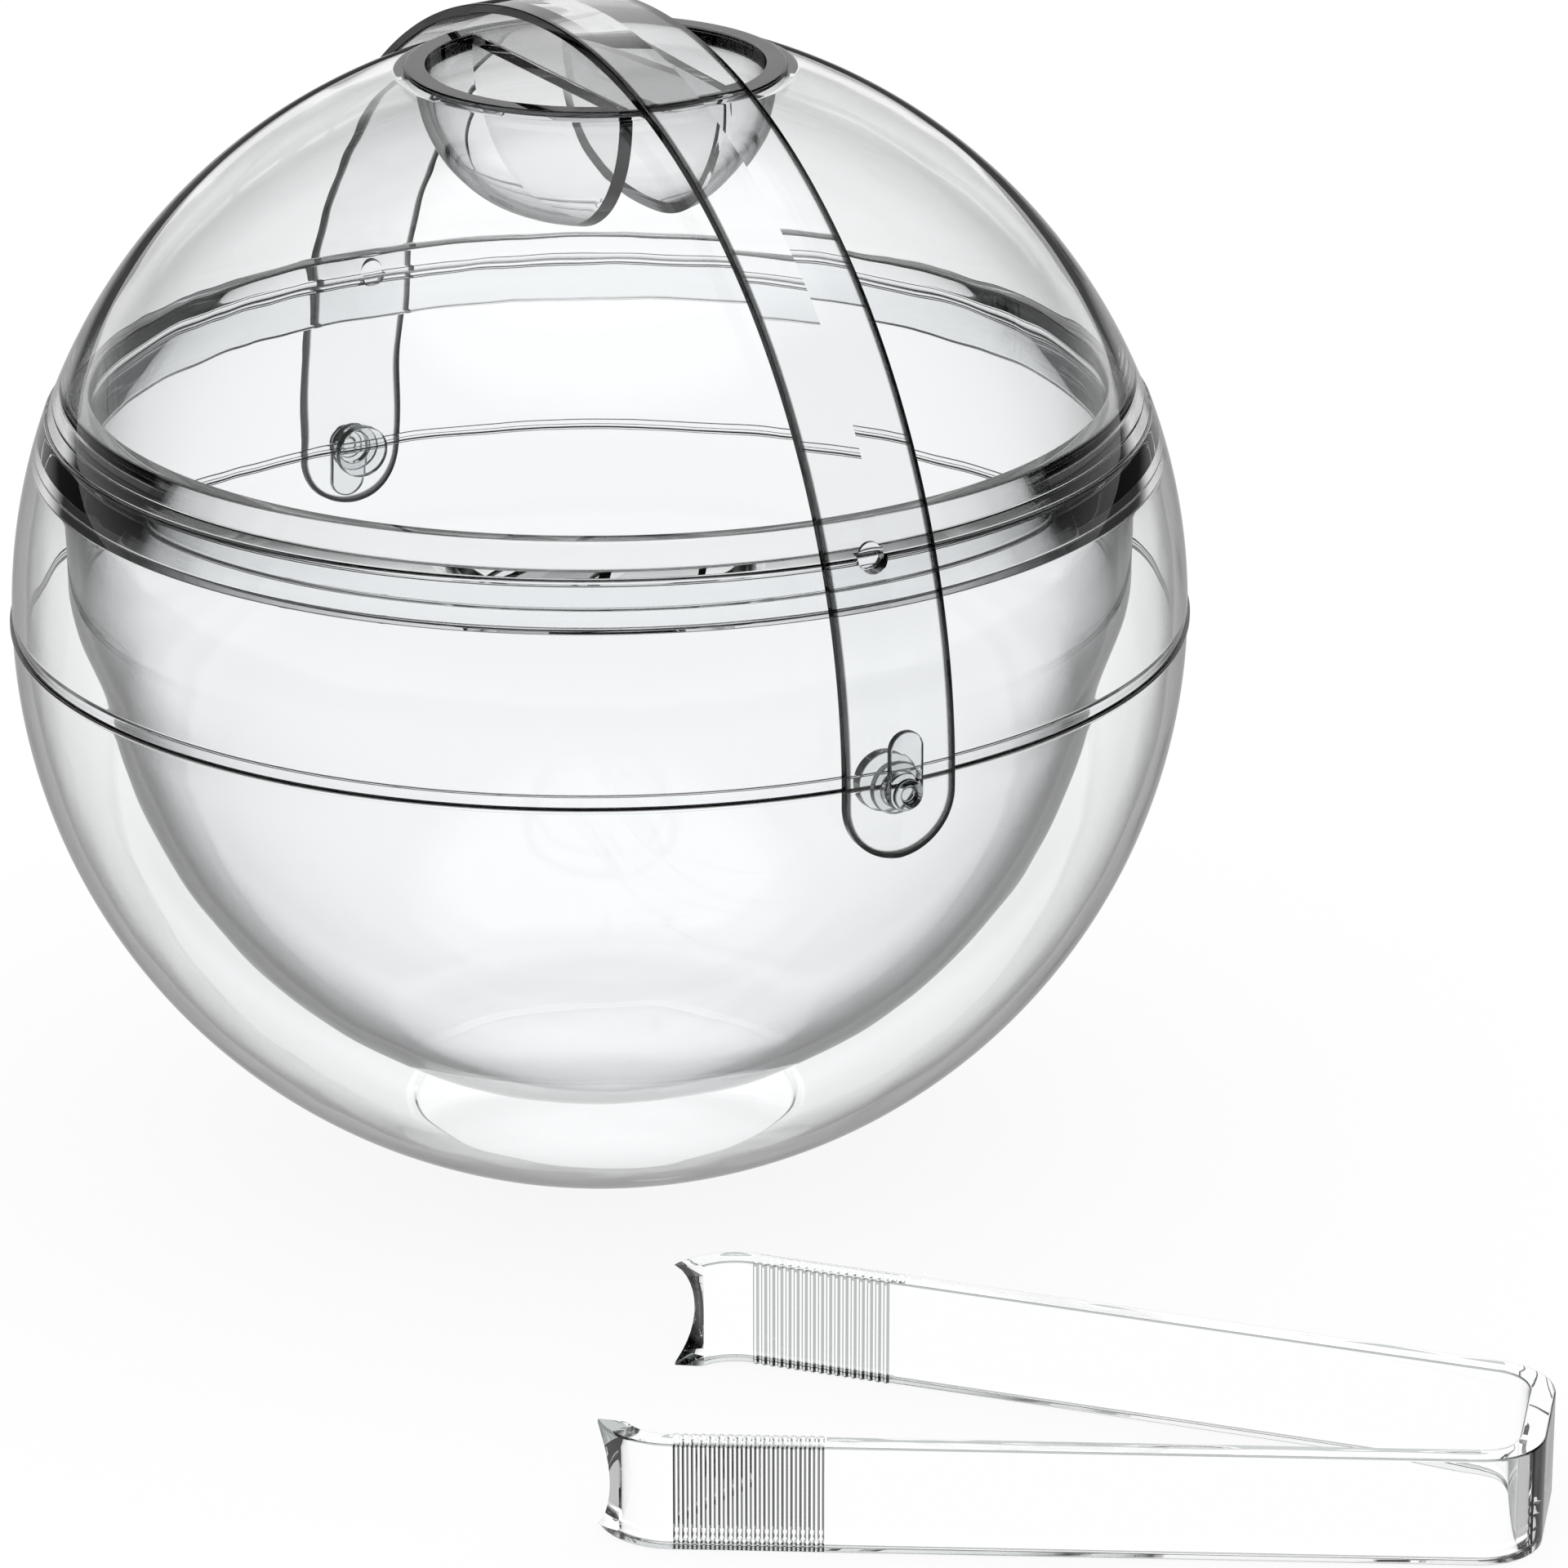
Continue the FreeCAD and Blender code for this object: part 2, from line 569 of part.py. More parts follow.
def make_tongs_half(label, near):
    """One half of the tongs, from the middle of the bow to its claw.

    The half is drawn with its arm along +X and its end at the origin. The other half is the
    same shape turned over about the tongs' middle line.
    """
    body = new_body(label, lift="tongs_width / 2")
    splay = "(arm_splay * 1deg)"
    bow = (f"bow_corner * cos({splay}) + bow_flat * sin({splay})",
           f"bow_flat * cos({splay}) - bow_corner * sin({splay})")
    face = f"({bow[1]} + bow_corner)"
    inner_face = f"({face} - tongs_strip)"
    claw = (f"{bow[0]} + arm_length", f"{face} - claw_radius")
    back = "(claw_radius - tongs_strip)"

    def on_claw(radius, angle):
        return (f"{claw[0]} + {radius} * sin({angle} * 1deg)",
                f"{claw[1]} + {radius} * cos({angle} * 1deg)")

    tip = on_claw("claw_radius", "claw_turn")
    sketch = new_sketch(body, f"{label}_outline", "XY_Plane")
    draw(sketch, [
        ("0", "0"),
        (f"bow_flat * sin({splay})", f"bow_flat * cos({splay})", "y"),
        (bow[0], face, "x"),
        (claw[0], face, "x"),
        (*tip, "x"),
        (*on_claw(back, "claw_inner_turn"), "x"),
        (claw[0], inner_face, "x"),
        (bow[0], inner_face, "x"),
        (f"{bow[0]} - (bow_corner - tongs_strip) * cos({splay})",
         f"{bow[1]} + (bow_corner - tongs_strip) * sin({splay})", "y"),
        (f"tongs_strip * cos({splay})", f"-tongs_strip * sin({splay})"),
    ], arcs={
        1: (bow, "bow_corner", -1),
        3: (claw, "claw_radius", -1),
        5: (claw, back, 1),
        7: (bow, "bow_corner - tongs_strip", 1),
    })
    pad(body, sketch, f"{label}_strip", "tongs_width")

    scoop = new_sketch(body, f"{label}_scoop_outline", "XZ_Plane")
    add_circle(scoop, "scoop_radius", f"{tip[0]} + scoop_radius - scoop_deep", "0")
    cut_through(body, scoop, f"{label}_scoop")

    rib = new_sketch(body, f"{label}_rib_outline", "XY_Plane")
    draw(rib, [
        (f"{claw[0]} - rib_wide", f"{inner_face} + rib_root"),
        (claw[0], f"{inner_face} + rib_root"),
        (claw[0], inner_face),
        (f"{claw[0]} - rib_wide / 2", f"{inner_face} - rib_tall"),
        (f"{claw[0]} - rib_wide", inner_face),
    ])
    first = pad(body, rib, f"{label}_rib", "tongs_width")
    ribs = body.newObject("PartDesign::LinearPattern", f"{label}_ribs")
    ribs.Originals = [first]
    ribs.Direction = (next(f for f in body.Origin.OriginFeatures if f.Role == "X_Axis"), [""])
    ribs.Reversed = True
    tie(ribs, Length="rib_pitch * (rib_count - 1)", Occurrences="rib_count")
    body.Tip = ribs

    turned = "tongs_heading + arm_splay" if near else "tongs_heading - arm_splay"
    if not near:
        body.Placement.Rotation = FreeCAD.Rotation(FreeCAD.Vector(1, 0, 0), 180.0)
    heading = FreeCAD.Rotation(FreeCAD.Vector(0, 0, 1), worth(turned))
    body.Placement.Rotation = heading.multiply(body.Placement.Rotation)
    return tie(body, **{"Placement.Base.x": "tongs_x", "Placement.Base.y": "tongs_y"})


# ---------------------------------------------------------------- the whole part

pieces = [
    make_lower_shell(),
    make_upper_shell(),
    make_inner_bowl(),
    make_lid_dome(),
    make_lid_ring(),
    make_finger_well(),
    make_handle_strap(),
    make_pivot_pin("pivot_pin_front", far_side=False),
    make_pivot_pin("pivot_pin_back", far_side=True),
    make_tongs_half("tongs_near_half", near=True),
    make_tongs_half("tongs_far_half", near=False),
]
doc.recompute()

for thing in doc.Objects:
    if {"Invalid", "Error"} & set(thing.State):
        raise RuntimeError(f"{thing.Label} did not build: {thing.State}")
for piece in pieces:
    halves = 2 if piece.Label == "handle_strap" else 1
    if piece.Shape.isNull() or not piece.Shape.isValid() or len(piece.Shape.Solids) != halves:
        raise RuntimeError(f"{piece.Label} is not valid")

os.makedirs("parts", exist_ok=True)
for piece in pieces:
    piece.Shape.exportStep(f"parts/{piece.Label}.step")
    box = piece.Shape.BoundBox
    spans = ((box.XMin, box.XMax), (box.YMin, box.YMax), (box.ZMin, box.ZMax))
    extent = "  ".join(f"{low:7.2f}..{high:7.2f}" for low, high in spans)
    print(f"{piece.Label:18s} {piece.Shape.Volume / 1000:8.2f} cm3  {extent}")
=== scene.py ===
"""Ball ice bucket in clear acrylic with a domed lid, a strap handle and one-piece tongs.

Sizes are in millimetres about the ball's centre, and each mesh is put into metres on the
flat base as it is made.
"""
import math

import bmesh
import bpy
import numpy as np
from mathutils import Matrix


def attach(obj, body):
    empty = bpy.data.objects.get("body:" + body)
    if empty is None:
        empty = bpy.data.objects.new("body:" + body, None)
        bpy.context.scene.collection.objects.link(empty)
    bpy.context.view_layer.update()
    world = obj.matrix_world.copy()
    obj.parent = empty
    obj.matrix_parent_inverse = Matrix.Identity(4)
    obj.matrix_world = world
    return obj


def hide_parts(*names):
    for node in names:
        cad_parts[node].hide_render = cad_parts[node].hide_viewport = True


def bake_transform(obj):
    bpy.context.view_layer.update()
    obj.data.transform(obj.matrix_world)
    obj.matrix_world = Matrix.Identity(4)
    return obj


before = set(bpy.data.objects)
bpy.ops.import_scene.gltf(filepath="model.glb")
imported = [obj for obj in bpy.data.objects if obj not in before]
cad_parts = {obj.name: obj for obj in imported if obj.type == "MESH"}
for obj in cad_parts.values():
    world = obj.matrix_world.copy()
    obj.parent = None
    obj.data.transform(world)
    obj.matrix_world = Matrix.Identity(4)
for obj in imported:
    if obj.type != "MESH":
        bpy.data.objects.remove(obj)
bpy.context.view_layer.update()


# ---- Lower shell -------------------------------------------------------------------------
# The ball below its equator, moulded in clear acrylic 2.5 mm thick. It has a flat to stand
# on, and a bead and a tongue where the upper shell is glued to it.

ball_radius = 105.0
base_radius = 35.0
shell_wall = 2.5
base_thick = 3.0
bead_proud = 0.4
bead_tall = 0.5
tongue_tall = 2.0
tongue_thick = 1.2
glue_gap = 0.05
wall_round = 0.25
base_ring = 0.3
metre = 1000.0
centre_height = math.sqrt(ball_radius ** 2 - base_radius ** 2)
shell_inside = ball_radius - shell_wall


def ball_arc(radius, low, high, steps):
    """Points radius (cos a, sin a) of a circle about the origin, from height low to high."""
    angle = np.linspace(math.asin(low / radius), math.asin(high / radius), steps)
    return np.stack([radius * np.cos(angle), radius * np.sin(angle)], axis=1)


def soften(outline, round_off, closed=True, steps=6, least_turn=15.0):
    """Rounds an outline's corners, but not the two ends of an open one.

    A corner p between the directions u and v becomes the curve p + reach (t^2 v - (1 - t)^2 u),
    with t from 0 to 1. The reach is round_off, or 0.45 of the shorter side where that is less,
    and a point where the outline turns by less than least_turn degrees stays as it is.
    """
    back = outline - np.roll(outline, 1, axis=0)
    ahead = np.roll(outline, -1, axis=0) - outline
    long_back = np.linalg.norm(back, axis=1, keepdims=True)
    long_ahead = np.linalg.norm(ahead, axis=1, keepdims=True)
    u, v = back / long_back, ahead / long_ahead
    sharp = (u * v).sum(axis=1) < math.cos(math.radians(least_turn))
    if not closed:
        sharp[[0, -1]] = False
    reach = np.minimum(round_off, 0.45 * np.minimum(long_back, long_ahead))[:, :, None]
    t = np.linspace(0.0, 1.0, steps)[None, :, None]
    curve = outline[:, None, :] + reach * (t ** 2 * v[:, None, :] - (1.0 - t) ** 2 * u[:, None, :])
    keep = np.ones((len(outline), steps), dtype=bool)
    keep[~sharp, 1:] = False
    curve[~sharp, 0] = outline[~sharp]
    return curve[keep]


def skin(name, grid, closed):
    """A mesh of four-sided faces through a grid of points, with point (i, j) joined to (i + 1, j)
    and (i, j + 1). The rows, the columns or both join up at their ends where closed says."""
    rows, columns = grid.shape[:2]
    i, j = np.meshgrid(np.arange(rows - 1 + closed[0]), np.arange(columns - 1 + closed[1]),
                       indexing="ij")
    i_next, j_next = (i + 1) % rows, (j + 1) % columns
    quads = np.stack([i * columns + j, i * columns + j_next, i_next * columns + j_next,
                      i_next * columns + j], axis=-1)
    points = (grid + [0.0, 0.0, centre_height]) / metre
    mesh = bpy.data.meshes.new(name)
    mesh.from_pydata(points.reshape(-1, 3).tolist(), [], quads.reshape(-1, 4).tolist())
    tidy(mesh)
    return mesh


def tidy(mesh, weld=1e-7):
    """Welds doubled points, closes poles and open ends and turns every face outward."""
    work = bmesh.new()
    work.from_mesh(mesh)
    bmesh.ops.remove_doubles(work, verts=work.verts, dist=weld)
    bmesh.ops.dissolve_degenerate(work, dist=weld, edges=work.edges)
    rim = [edge for edge in work.edges if edge.is_boundary]
    if rim:
        ends = bmesh.ops.holes_fill(work, edges=rim, sides=0)["faces"]
        bmesh.ops.triangulate(work, faces=ends)
    bmesh.ops.recalc_face_normals(work, faces=work.faces)
    work.to_mesh(mesh)
    work.free()


def turned(name, outline, closed=True, steps=320, axis="Z"):
    """A surface of revolution: the outline's point (r, h) becomes (r cos a, r sin a, h) about Z,
    or (h, r cos a, r sin a) about X."""
    angle = np.linspace(0.0, 2.0 * math.pi, steps, endpoint=False)[None, :, None]
    r, h = outline[:, None, :1], outline[:, None, 1:]
    across, up, along = r * np.cos(angle), r * np.sin(angle), h + 0.0 * angle
    parts = [across, up, along] if axis == "Z" else [along, across, up]
    return skin(name, np.concatenate(parts, axis=2), (closed, True))


def combined(mesh, tool, operation):
    """The mesh after a solid operation with the tool's mesh."""
    first = bpy.data.objects.new("work", mesh)
    second = bpy.data.objects.new("tool", tool)
    for thing in (first, second):
        bpy.context.scene.collection.objects.link(thing)
    step = first.modifiers.new("solid", "BOOLEAN")
    step.operation = operation
    step.solver = "EXACT"
    step.object = second
    solved = first.evaluated_get(bpy.context.evaluated_depsgraph_get())
    shape = bpy.data.meshes.new_from_object(solved)
    for thing in (first, second):
        bpy.data.objects.remove(thing)
    tidy(shape)
    return shape


def new_piece(name, mesh, body, material, *nodes, crease=30.0):
    """Shades a mesh smooth up to the crease angle, gives it the material and puts it on its body,
    if it has one, in place of its nodes, which it hides."""
    mesh.name = name
    mesh.shade_smooth()
    mesh.set_sharp_from_angle(angle=math.radians(crease))
    mesh.materials.clear()
    mesh.materials.append(material)
    piece = bpy.data.objects.new(name, mesh)
    bpy.context.scene.collection.objects.link(piece)
    level = piece.modifiers.new("flat faces stay flat", "WEIGHTED_NORMAL")
    level.keep_sharp = True
    level.weight = 90
    if body:
        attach(piece, body)
    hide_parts(*nodes)
    return piece


def face_values(mesh, what):
    """The center or the normal of each face, one to a row."""
    values = np.empty(3 * len(mesh.polygons))
    mesh.polygons.foreach_get(what, values)
    return values.reshape(-1, 3)


def ring_faces(mesh, radius, near, above=-math.inf):
    """Which faces lie within near of a radius about the ball's upright axis, above a height."""
    middle = face_values(mesh, "center") * metre
    around = np.abs(np.hypot(middle[:, 0], middle[:, 1]) - radius) < near
    return around & (middle[:, 2] - centre_height > above)


def darken(mesh, material, chosen):
    """Gives the chosen faces a second material."""
    mesh.materials.append(material)
    mesh.polygons.foreach_set("material_index", chosen.astype(np.int32))


def group_of(name, label, kind):
    """An empty node group with one output, and the node that the output is given to."""
    group = bpy.data.node_groups.new(name, "ShaderNodeTree")
    group.interface.new_socket(name=label, in_out="OUTPUT", socket_type=kind)
    return group, group.nodes.new("NodeGroupOutput")


def edge_mask():
    """1 on faces that cut across the ball's wall and 0 on faces along it.

    It rises from 0 to 1 as |normal . outward| falls from 0.9 to 0.6, with outward the direction
    from the ball's centre.
    """
    group, result = group_of("edge_mask", "Mask", "NodeSocketFloat")
    nodes, links = group.nodes, group.links
    place = nodes.new("ShaderNodeTexCoord")
    offset = nodes.new("ShaderNodeVectorMath")
    offset.operation = "SUBTRACT"
    offset.inputs[1].default_value = (0.0, 0.0, centre_height / metre)
    outward = nodes.new("ShaderNodeVectorMath")
    outward.operation = "NORMALIZE"
    along = nodes.new("ShaderNodeVectorMath")
    along.operation = "DOT_PRODUCT"
    size = nodes.new("ShaderNodeMath")
    size.operation = "ABSOLUTE"
    fade = nodes.new("ShaderNodeMapRange")
    fade.interpolation_type = "SMOOTHSTEP"
    fade.inputs["From Min"].default_value = 0.90
    fade.inputs["From Max"].default_value = 0.60
    links.new(place.outputs["Object"], offset.inputs[0])
    links.new(offset.outputs["Vector"], outward.inputs[0])
    links.new(outward.outputs["Vector"], along.inputs[0])
    links.new(place.outputs["Normal"], along.inputs[1])
    links.new(along.outputs["Value"], size.inputs[0])
    links.new(size.outputs["Value"], fade.inputs["Value"])
    links.new(fade.outputs["Result"], result.inputs["Mask"])
    return group


def moulded_surface():
    """The normal of a moulded face, which waves by a few hundredths of a millimetre."""
    group, result = group_of("moulded_surface", "Normal", "NodeSocketVector")
    nodes, links = group.nodes, group.links
    place = nodes.new("ShaderNodeTexCoord")
    wave = nodes.new("ShaderNodeTexNoise")
    wave.inputs["Scale"].default_value = 45.0
    wave.inputs["Detail"].default_value = 1.0
    bump = nodes.new("ShaderNodeBump")
    bump.inputs["Strength"].default_value = 0.12
    bump.inputs["Distance"].default_value = 0.0012
    links.new(place.outputs["Object"], wave.inputs["Vector"])
    links.new(wave.outputs["Fac"], bump.inputs["Height"])
    links.new(bump.outputs["Normal"], result.inputs["Normal"])
    return group


# wall_edges marks where the acrylic's colour takes painted shade at the wall's edges
wall_edges = edge_mask()
flow = moulded_surface()
clear = (0.988, 0.993, 0.996)
acrylic_index = 1.49


def acrylic(name, tint, rim, rim_start, mirror, edge=None, mask_group=None, rim_end=0.93):
    """Clear acrylic, whose faces reflect the share mirror of what perfect ones would head on.

    Its colour falls from tint to rim towards grazing view, as the facing weight goes from
    rim_start to rim_end: painted shade, for the dark surroundings that grazing faces reflect.
    Where the group's mask is 1, at the edges of the wall, it is edge times that: painted shade,
    for the light that comes along the wall and is lost.
    """
    material = bpy.data.materials.new(name)
    material.use_nodes = True
    nodes, links = material.node_tree.nodes, material.node_tree.links
    shader = nodes["Principled BSDF"]
    shader.inputs["Roughness"].default_value = 0.0
    shader.inputs["Transmission Weight"].default_value = 1.0
    shader.inputs["IOR"].default_value = acrylic_index
    shader.inputs["Specular Tint"].default_value = (mirror, mirror, mirror, 1.0)
    surface = nodes.new("ShaderNodeGroup")
    surface.node_tree = flow
    links.new(surface.outputs["Normal"], shader.inputs["Normal"])
    # painted shade: the facing weight darkens the colour towards grazing view
    weight = nodes.new("ShaderNodeLayerWeight")
    weight.inputs["Blend"].default_value = 0.5
    ramp = nodes.new("ShaderNodeValToRGB")
    ramp.color_ramp.interpolation = "EASE"
    ramp.color_ramp.elements[0].position = rim_start
    ramp.color_ramp.elements[0].color = (*tint, 1.0)
    ramp.color_ramp.elements[1].position = rim_end
    ramp.color_ramp.elements[1].color = (*rim, 1.0)
    links.new(weight.outputs["Facing"], ramp.inputs["Fac"])
    if edge is None:
        links.new(ramp.outputs["Color"], shader.inputs["Base Color"])
        return material
    # painted shade: the mask darkens the colour at the wall's edges
    mask = nodes.new("ShaderNodeGroup")
    mask.node_tree = mask_group
    loss = nodes.new("ShaderNodeMix")
    loss.data_type = "RGBA"
    loss.inputs["A"].default_value = (1.0, 1.0, 1.0, 1.0)
    loss.inputs["B"].default_value = (edge, edge, edge, 1.0)
    colour = nodes.new("ShaderNodeMix")
    colour.data_type = "RGBA"
    colour.blend_type = "MULTIPLY"
    colour.inputs["Factor"].default_value = 1.0
    links.new(mask.outputs["Mask"], loss.inputs["Factor"])
    links.new(ramp.outputs["Color"], colour.inputs["A"])
    links.new(loss.outputs["Result"], colour.inputs["B"])
    links.new(colour.outputs["Result"], shader.inputs["Base Color"])
    return material


# The rim colour and the edge share of each acrylic below are painted shade, at grazing view and at the
# wall's edges.
shell_acrylic = acrylic("shell_acrylic", tint=clear, rim=(0.01, 0.011, 0.012), rim_start=0.72,
                        mirror=0.5, edge=0.2, mask_group=wall_edges)
# Painted shade: a grey that turns darker towards grazing view, for the dark line round the foot of the
# flat and the dark band on the neck's inner wall, where the bowl is bonded.
shade_line_acrylic = acrylic("shade_line_acrylic", tint=(0.84, 0.865, 0.875), rim=(0.10, 0.11, 0.11),
                       rim_start=0.3, mirror=0.5)
floor_height = base_thick - centre_height
lower_outline = np.concatenate([
    [(0.0, -centre_height)],
    ball_arc(ball_radius, -centre_height, -bead_tall, 96),
    [(ball_radius + bead_proud, -bead_tall), (ball_radius + bead_proud, 0.0),
     (shell_inside + tongue_thick, 0.0), (shell_inside + tongue_thick, tongue_tall),
     (shell_inside, tongue_tall)],
    ball_arc(shell_inside, 0.0, floor_height, 96),
    [(0.0, floor_height)],
])
lower = turned("lower", soften(lower_outline, wall_round, closed=False), closed=False)
new_piece("lower_shell_clear", lower, "base", shell_acrylic, "lower_shell")
# painted shade on the ring of faces where the ball meets its flat
darken(lower, shade_line_acrylic, ring_faces(lower, base_radius, base_ring))


# ---- Upper shell -------------------------------------------------------------------------
# The ball from its equator up to the lid, moulded in the same acrylic. Its top is a thick
# neck with a rebate, in which the bowl's rim is bonded, and a notch at each pivot for the
# lid's keys.

neck_top = 37.6
neck_tall = 9.0
neck_wall = 3.25
rebate = 1.6
notch_wall = 0.1
# how near the neck's inner wall a face must lie to take the neck's painted shade
neck_shade_reach = 0.03
key_radius = 2.4
key_play = 0.3
lid_gap = 0.15
cutter_past = 1.0
neck_radius = math.sqrt(ball_radius ** 2 - neck_top ** 2) - neck_wall
tongue_room = shell_inside + tongue_thick + glue_gap
lid_foot = neck_top + lid_gap


def rod(radius, ends, height, round_off=0.2):
    """A rod along X between two ends at a height, turned from a box with rounded corners."""
    start, end = sorted(ends)
    outline = np.array([(0.0, start), (radius, start), (radius, end), (0.0, end)])
    mesh = turned("rod", soften(outline, round_off, closed=False), closed=False, steps=64, axis="X")
    place = np.empty(3 * len(mesh.vertices))
    mesh.vertices.foreach_get("co", place)
    place[2::3] += height / metre
    mesh.vertices.foreach_set("co", place)
    return mesh


upper_outline = np.concatenate([
    [(tongue_room, 0.0), (ball_radius + bead_proud, 0.0), (ball_radius + bead_proud, bead_tall)],
    ball_arc(ball_radius, bead_tall, neck_top, 48),
    [(neck_radius + rebate, neck_top), (neck_radius + rebate, neck_top - rebate),
     (neck_radius, neck_top - rebate), (neck_radius, neck_top - neck_tall)],
    ball_arc(shell_inside, neck_top - neck_tall, tongue_tall + glue_gap, 40),
    [(tongue_room, tongue_tall + glue_gap)],
])
upper = turned("upper", soften(upper_outline, wall_round))
for side in (-1.0, 1.0):
    notch_ends = (side * (neck_radius + rebate + notch_wall), side * (ball_radius + cutter_past))
    upper = combined(upper, rod(key_radius + key_play, notch_ends, lid_foot), "DIFFERENCE")
new_piece("upper_shell_clear", upper, "base", shell_acrylic, "upper_shell")
# painted shade on the neck's inner wall, where the bowl's rim is bonded
darken(upper, shade_line_acrylic, ring_faces(upper, neck_radius, neck_shade_reach))


# ---- Inner bowl --------------------------------------------------------------------------
# The bowl that holds the ice, bonded into the neck, with an air gap round it. It has a flat
# floor, a round side and a flare up to the mouth.

bowl_gap = 15.0
bowl_wall = 2.3
bowl_round = 0.3
floor_radius = 35.0
bowl_corner = 14.0
flare_low, flare_high = 14.0, 8.0
flare_pull = 0.35
floor_drop = 1.5
bowl_outside = ball_radius - bowl_gap
mouth_outside = neck_radius - glue_gap
corner_height = math.sqrt((bowl_outside - bowl_corner) ** 2 - floor_radius ** 2)
floor_low = -corner_height - bowl_corner - floor_drop


def bowl_line(inset):
    """From the axis along the floor, round the corner, up the side and to the foot of the mouth.

    The floor rises as (r / r1)^p to the side's foot at r1, which it meets in line with the side.
    The side is an arc about the ball's centre, and the flare is a cubic curve that leaves along
    it and arrives upright.
    """
    lean = math.atan2(corner_height, floor_radius)
    radius = bowl_outside - inset
    side = ball_arc(radius, -radius * math.sin(lean), -flare_low, 72)
    foot, low = side[0], floor_low + inset
    u = np.linspace(0.0, 1.0, 48)[:-1]
    power = foot[0] ** 2 / -foot[1] / (foot[1] - low)
    floor_line = np.stack([foot[0] * u, low + (foot[1] - low) * u ** power], axis=1)
    t = np.linspace(0.0, 1.0, 14)[1:, None]
    start, end = side[-1], np.array([mouth_outside - inset, flare_high])
    along = np.array([-side[-1][1], side[-1][0]]) / radius
    pull = flare_pull * np.linalg.norm(end - start)
    flare = ((1 - t) ** 3 * start + 3 * t * (1 - t) ** 2 * (start + pull * along)
             + 3 * t ** 2 * (1 - t) * (end - [0.0, pull]) + t ** 3 * end)
    return np.concatenate([floor_line, side, flare])


bowl_outline = np.concatenate([
    bowl_line(0.0),
    [(mouth_outside, neck_top - rebate + glue_gap),
     (neck_radius + rebate - glue_gap, neck_top - rebate + glue_gap),
     (neck_radius + rebate - glue_gap, neck_top), (mouth_outside - bowl_wall, neck_top)],
    bowl_line(bowl_wall)[::-1],
])
bowl_acrylic = acrylic("bowl_acrylic", tint=clear, rim=(0.004, 0.005, 0.006), rim_start=0.5,
                       mirror=0.3, edge=0.2, mask_group=wall_edges)
bowl = turned("bowl", soften(bowl_outline, bowl_round, closed=False), closed=False)
new_piece("inner_bowl_clear", bowl, "base", bowl_acrylic, "inner_bowl")


# ---- Pivot pins --------------------------------------------------------------------------
# Clear pins at the ball's two sides, on which the strap swings. Each is held by a flange
# inside the shell, and has a shoulder under the strap and a lug over it: the front lug
# points up, and the back one down.

strap_gap = 1.9
strap_edge = 1.7
strap_ridge = 0.5
strap_inside = ball_radius + strap_gap
pin_radius = 3.2
pin_end_radius = 2.7
pin_round = 0.25
flange_radius = 5.2
flange_thick = 2.0
flange_round = 0.3
shoulder_radius = 4.6
shoulder_play = 0.125
lug_gap = 0.25
lug_thick = 1.3
lug_reach = 11.0
lug_round = 0.3
step_tall = 0.6
end_proud = 0.8
dish_proud = 0.35
dish_radius, dish_floor = 1.6, 1.3
lug_in = strap_inside + strap_edge + strap_ridge + lug_gap
lug_out = lug_in + lug_thick
shoulder_in = ball_radius + bead_proud + glue_gap
shoulder_out = math.sqrt(strap_inside ** 2 - shoulder_radius ** 2) - shoulder_play
flange_out = math.sqrt(shell_inside ** 2 - flange_radius ** 2) - glue_gap
# Painted shade: the clear pins are given a grey that turns black towards grazing view.
pin_acrylic = acrylic("pin_acrylic", tint=(0.86, 0.87, 0.875), rim=(0.0, 0.0, 0.0),
                      rim_start=0.2, mirror=0.15)
# Painted shade: a dark grey acrylic for the pins' sides and the tongs' rounded edges and rib flanks,
# where the light that comes along the wall is lost.
edge_shade_acrylic = acrylic("edge_shade_acrylic", tint=(0.28, 0.31, 0.30), rim=(0.05, 0.055, 0.055),
                       rim_start=0.5, mirror=0.5)


def lug_plate(side):
    """The lug, a capsule that points up at side 1 and down at side -1.

    Its section at the depth x is the circle (w cos a, w sin a), whose half towards the tip is
    moved out to the tip, with w = pin_radius - inset(x). The inset rounds the two edges by
    lug_round at side 1, and flares them by as much at side -1.
    """
    angle = np.linspace(0.0, 2.0 * math.pi, 64, endpoint=False)
    shift = np.where(np.sin(angle) > 1e-9, lug_reach - pin_radius, 0.0)
    start, end, round_off = side * lug_in, side * lug_out, side * lug_round
    t = np.linspace(0.0, math.pi / 2.0, 5)
    falling, rising = round_off * (1.0 - np.sin(t)), round_off * (1.0 - np.cos(t))
    inset = np.concatenate([[pin_radius], falling, rising, [pin_radius]])
    depth = np.concatenate([[start], start + rising, end - falling, [end]])
    y = (pin_radius - inset)[:, None] * np.cos(angle)[None, :]
    z = (pin_radius - inset)[:, None] * np.sin(angle)[None, :] + shift[None, :]
    x = np.broadcast_to(depth[:, None], y.shape)
    return skin("lug", np.stack([x, y, side * z], axis=2), (False, True))


def edge_faces(mesh, axis, least, most=0.97):
    """Which faces have a normal whose share n along an axis is least < |n| < most. There the
    light that comes along the wall is lost."""
    share = np.abs(face_values(mesh, "normal")[:, axis])
    return (share > least) & (share < most)


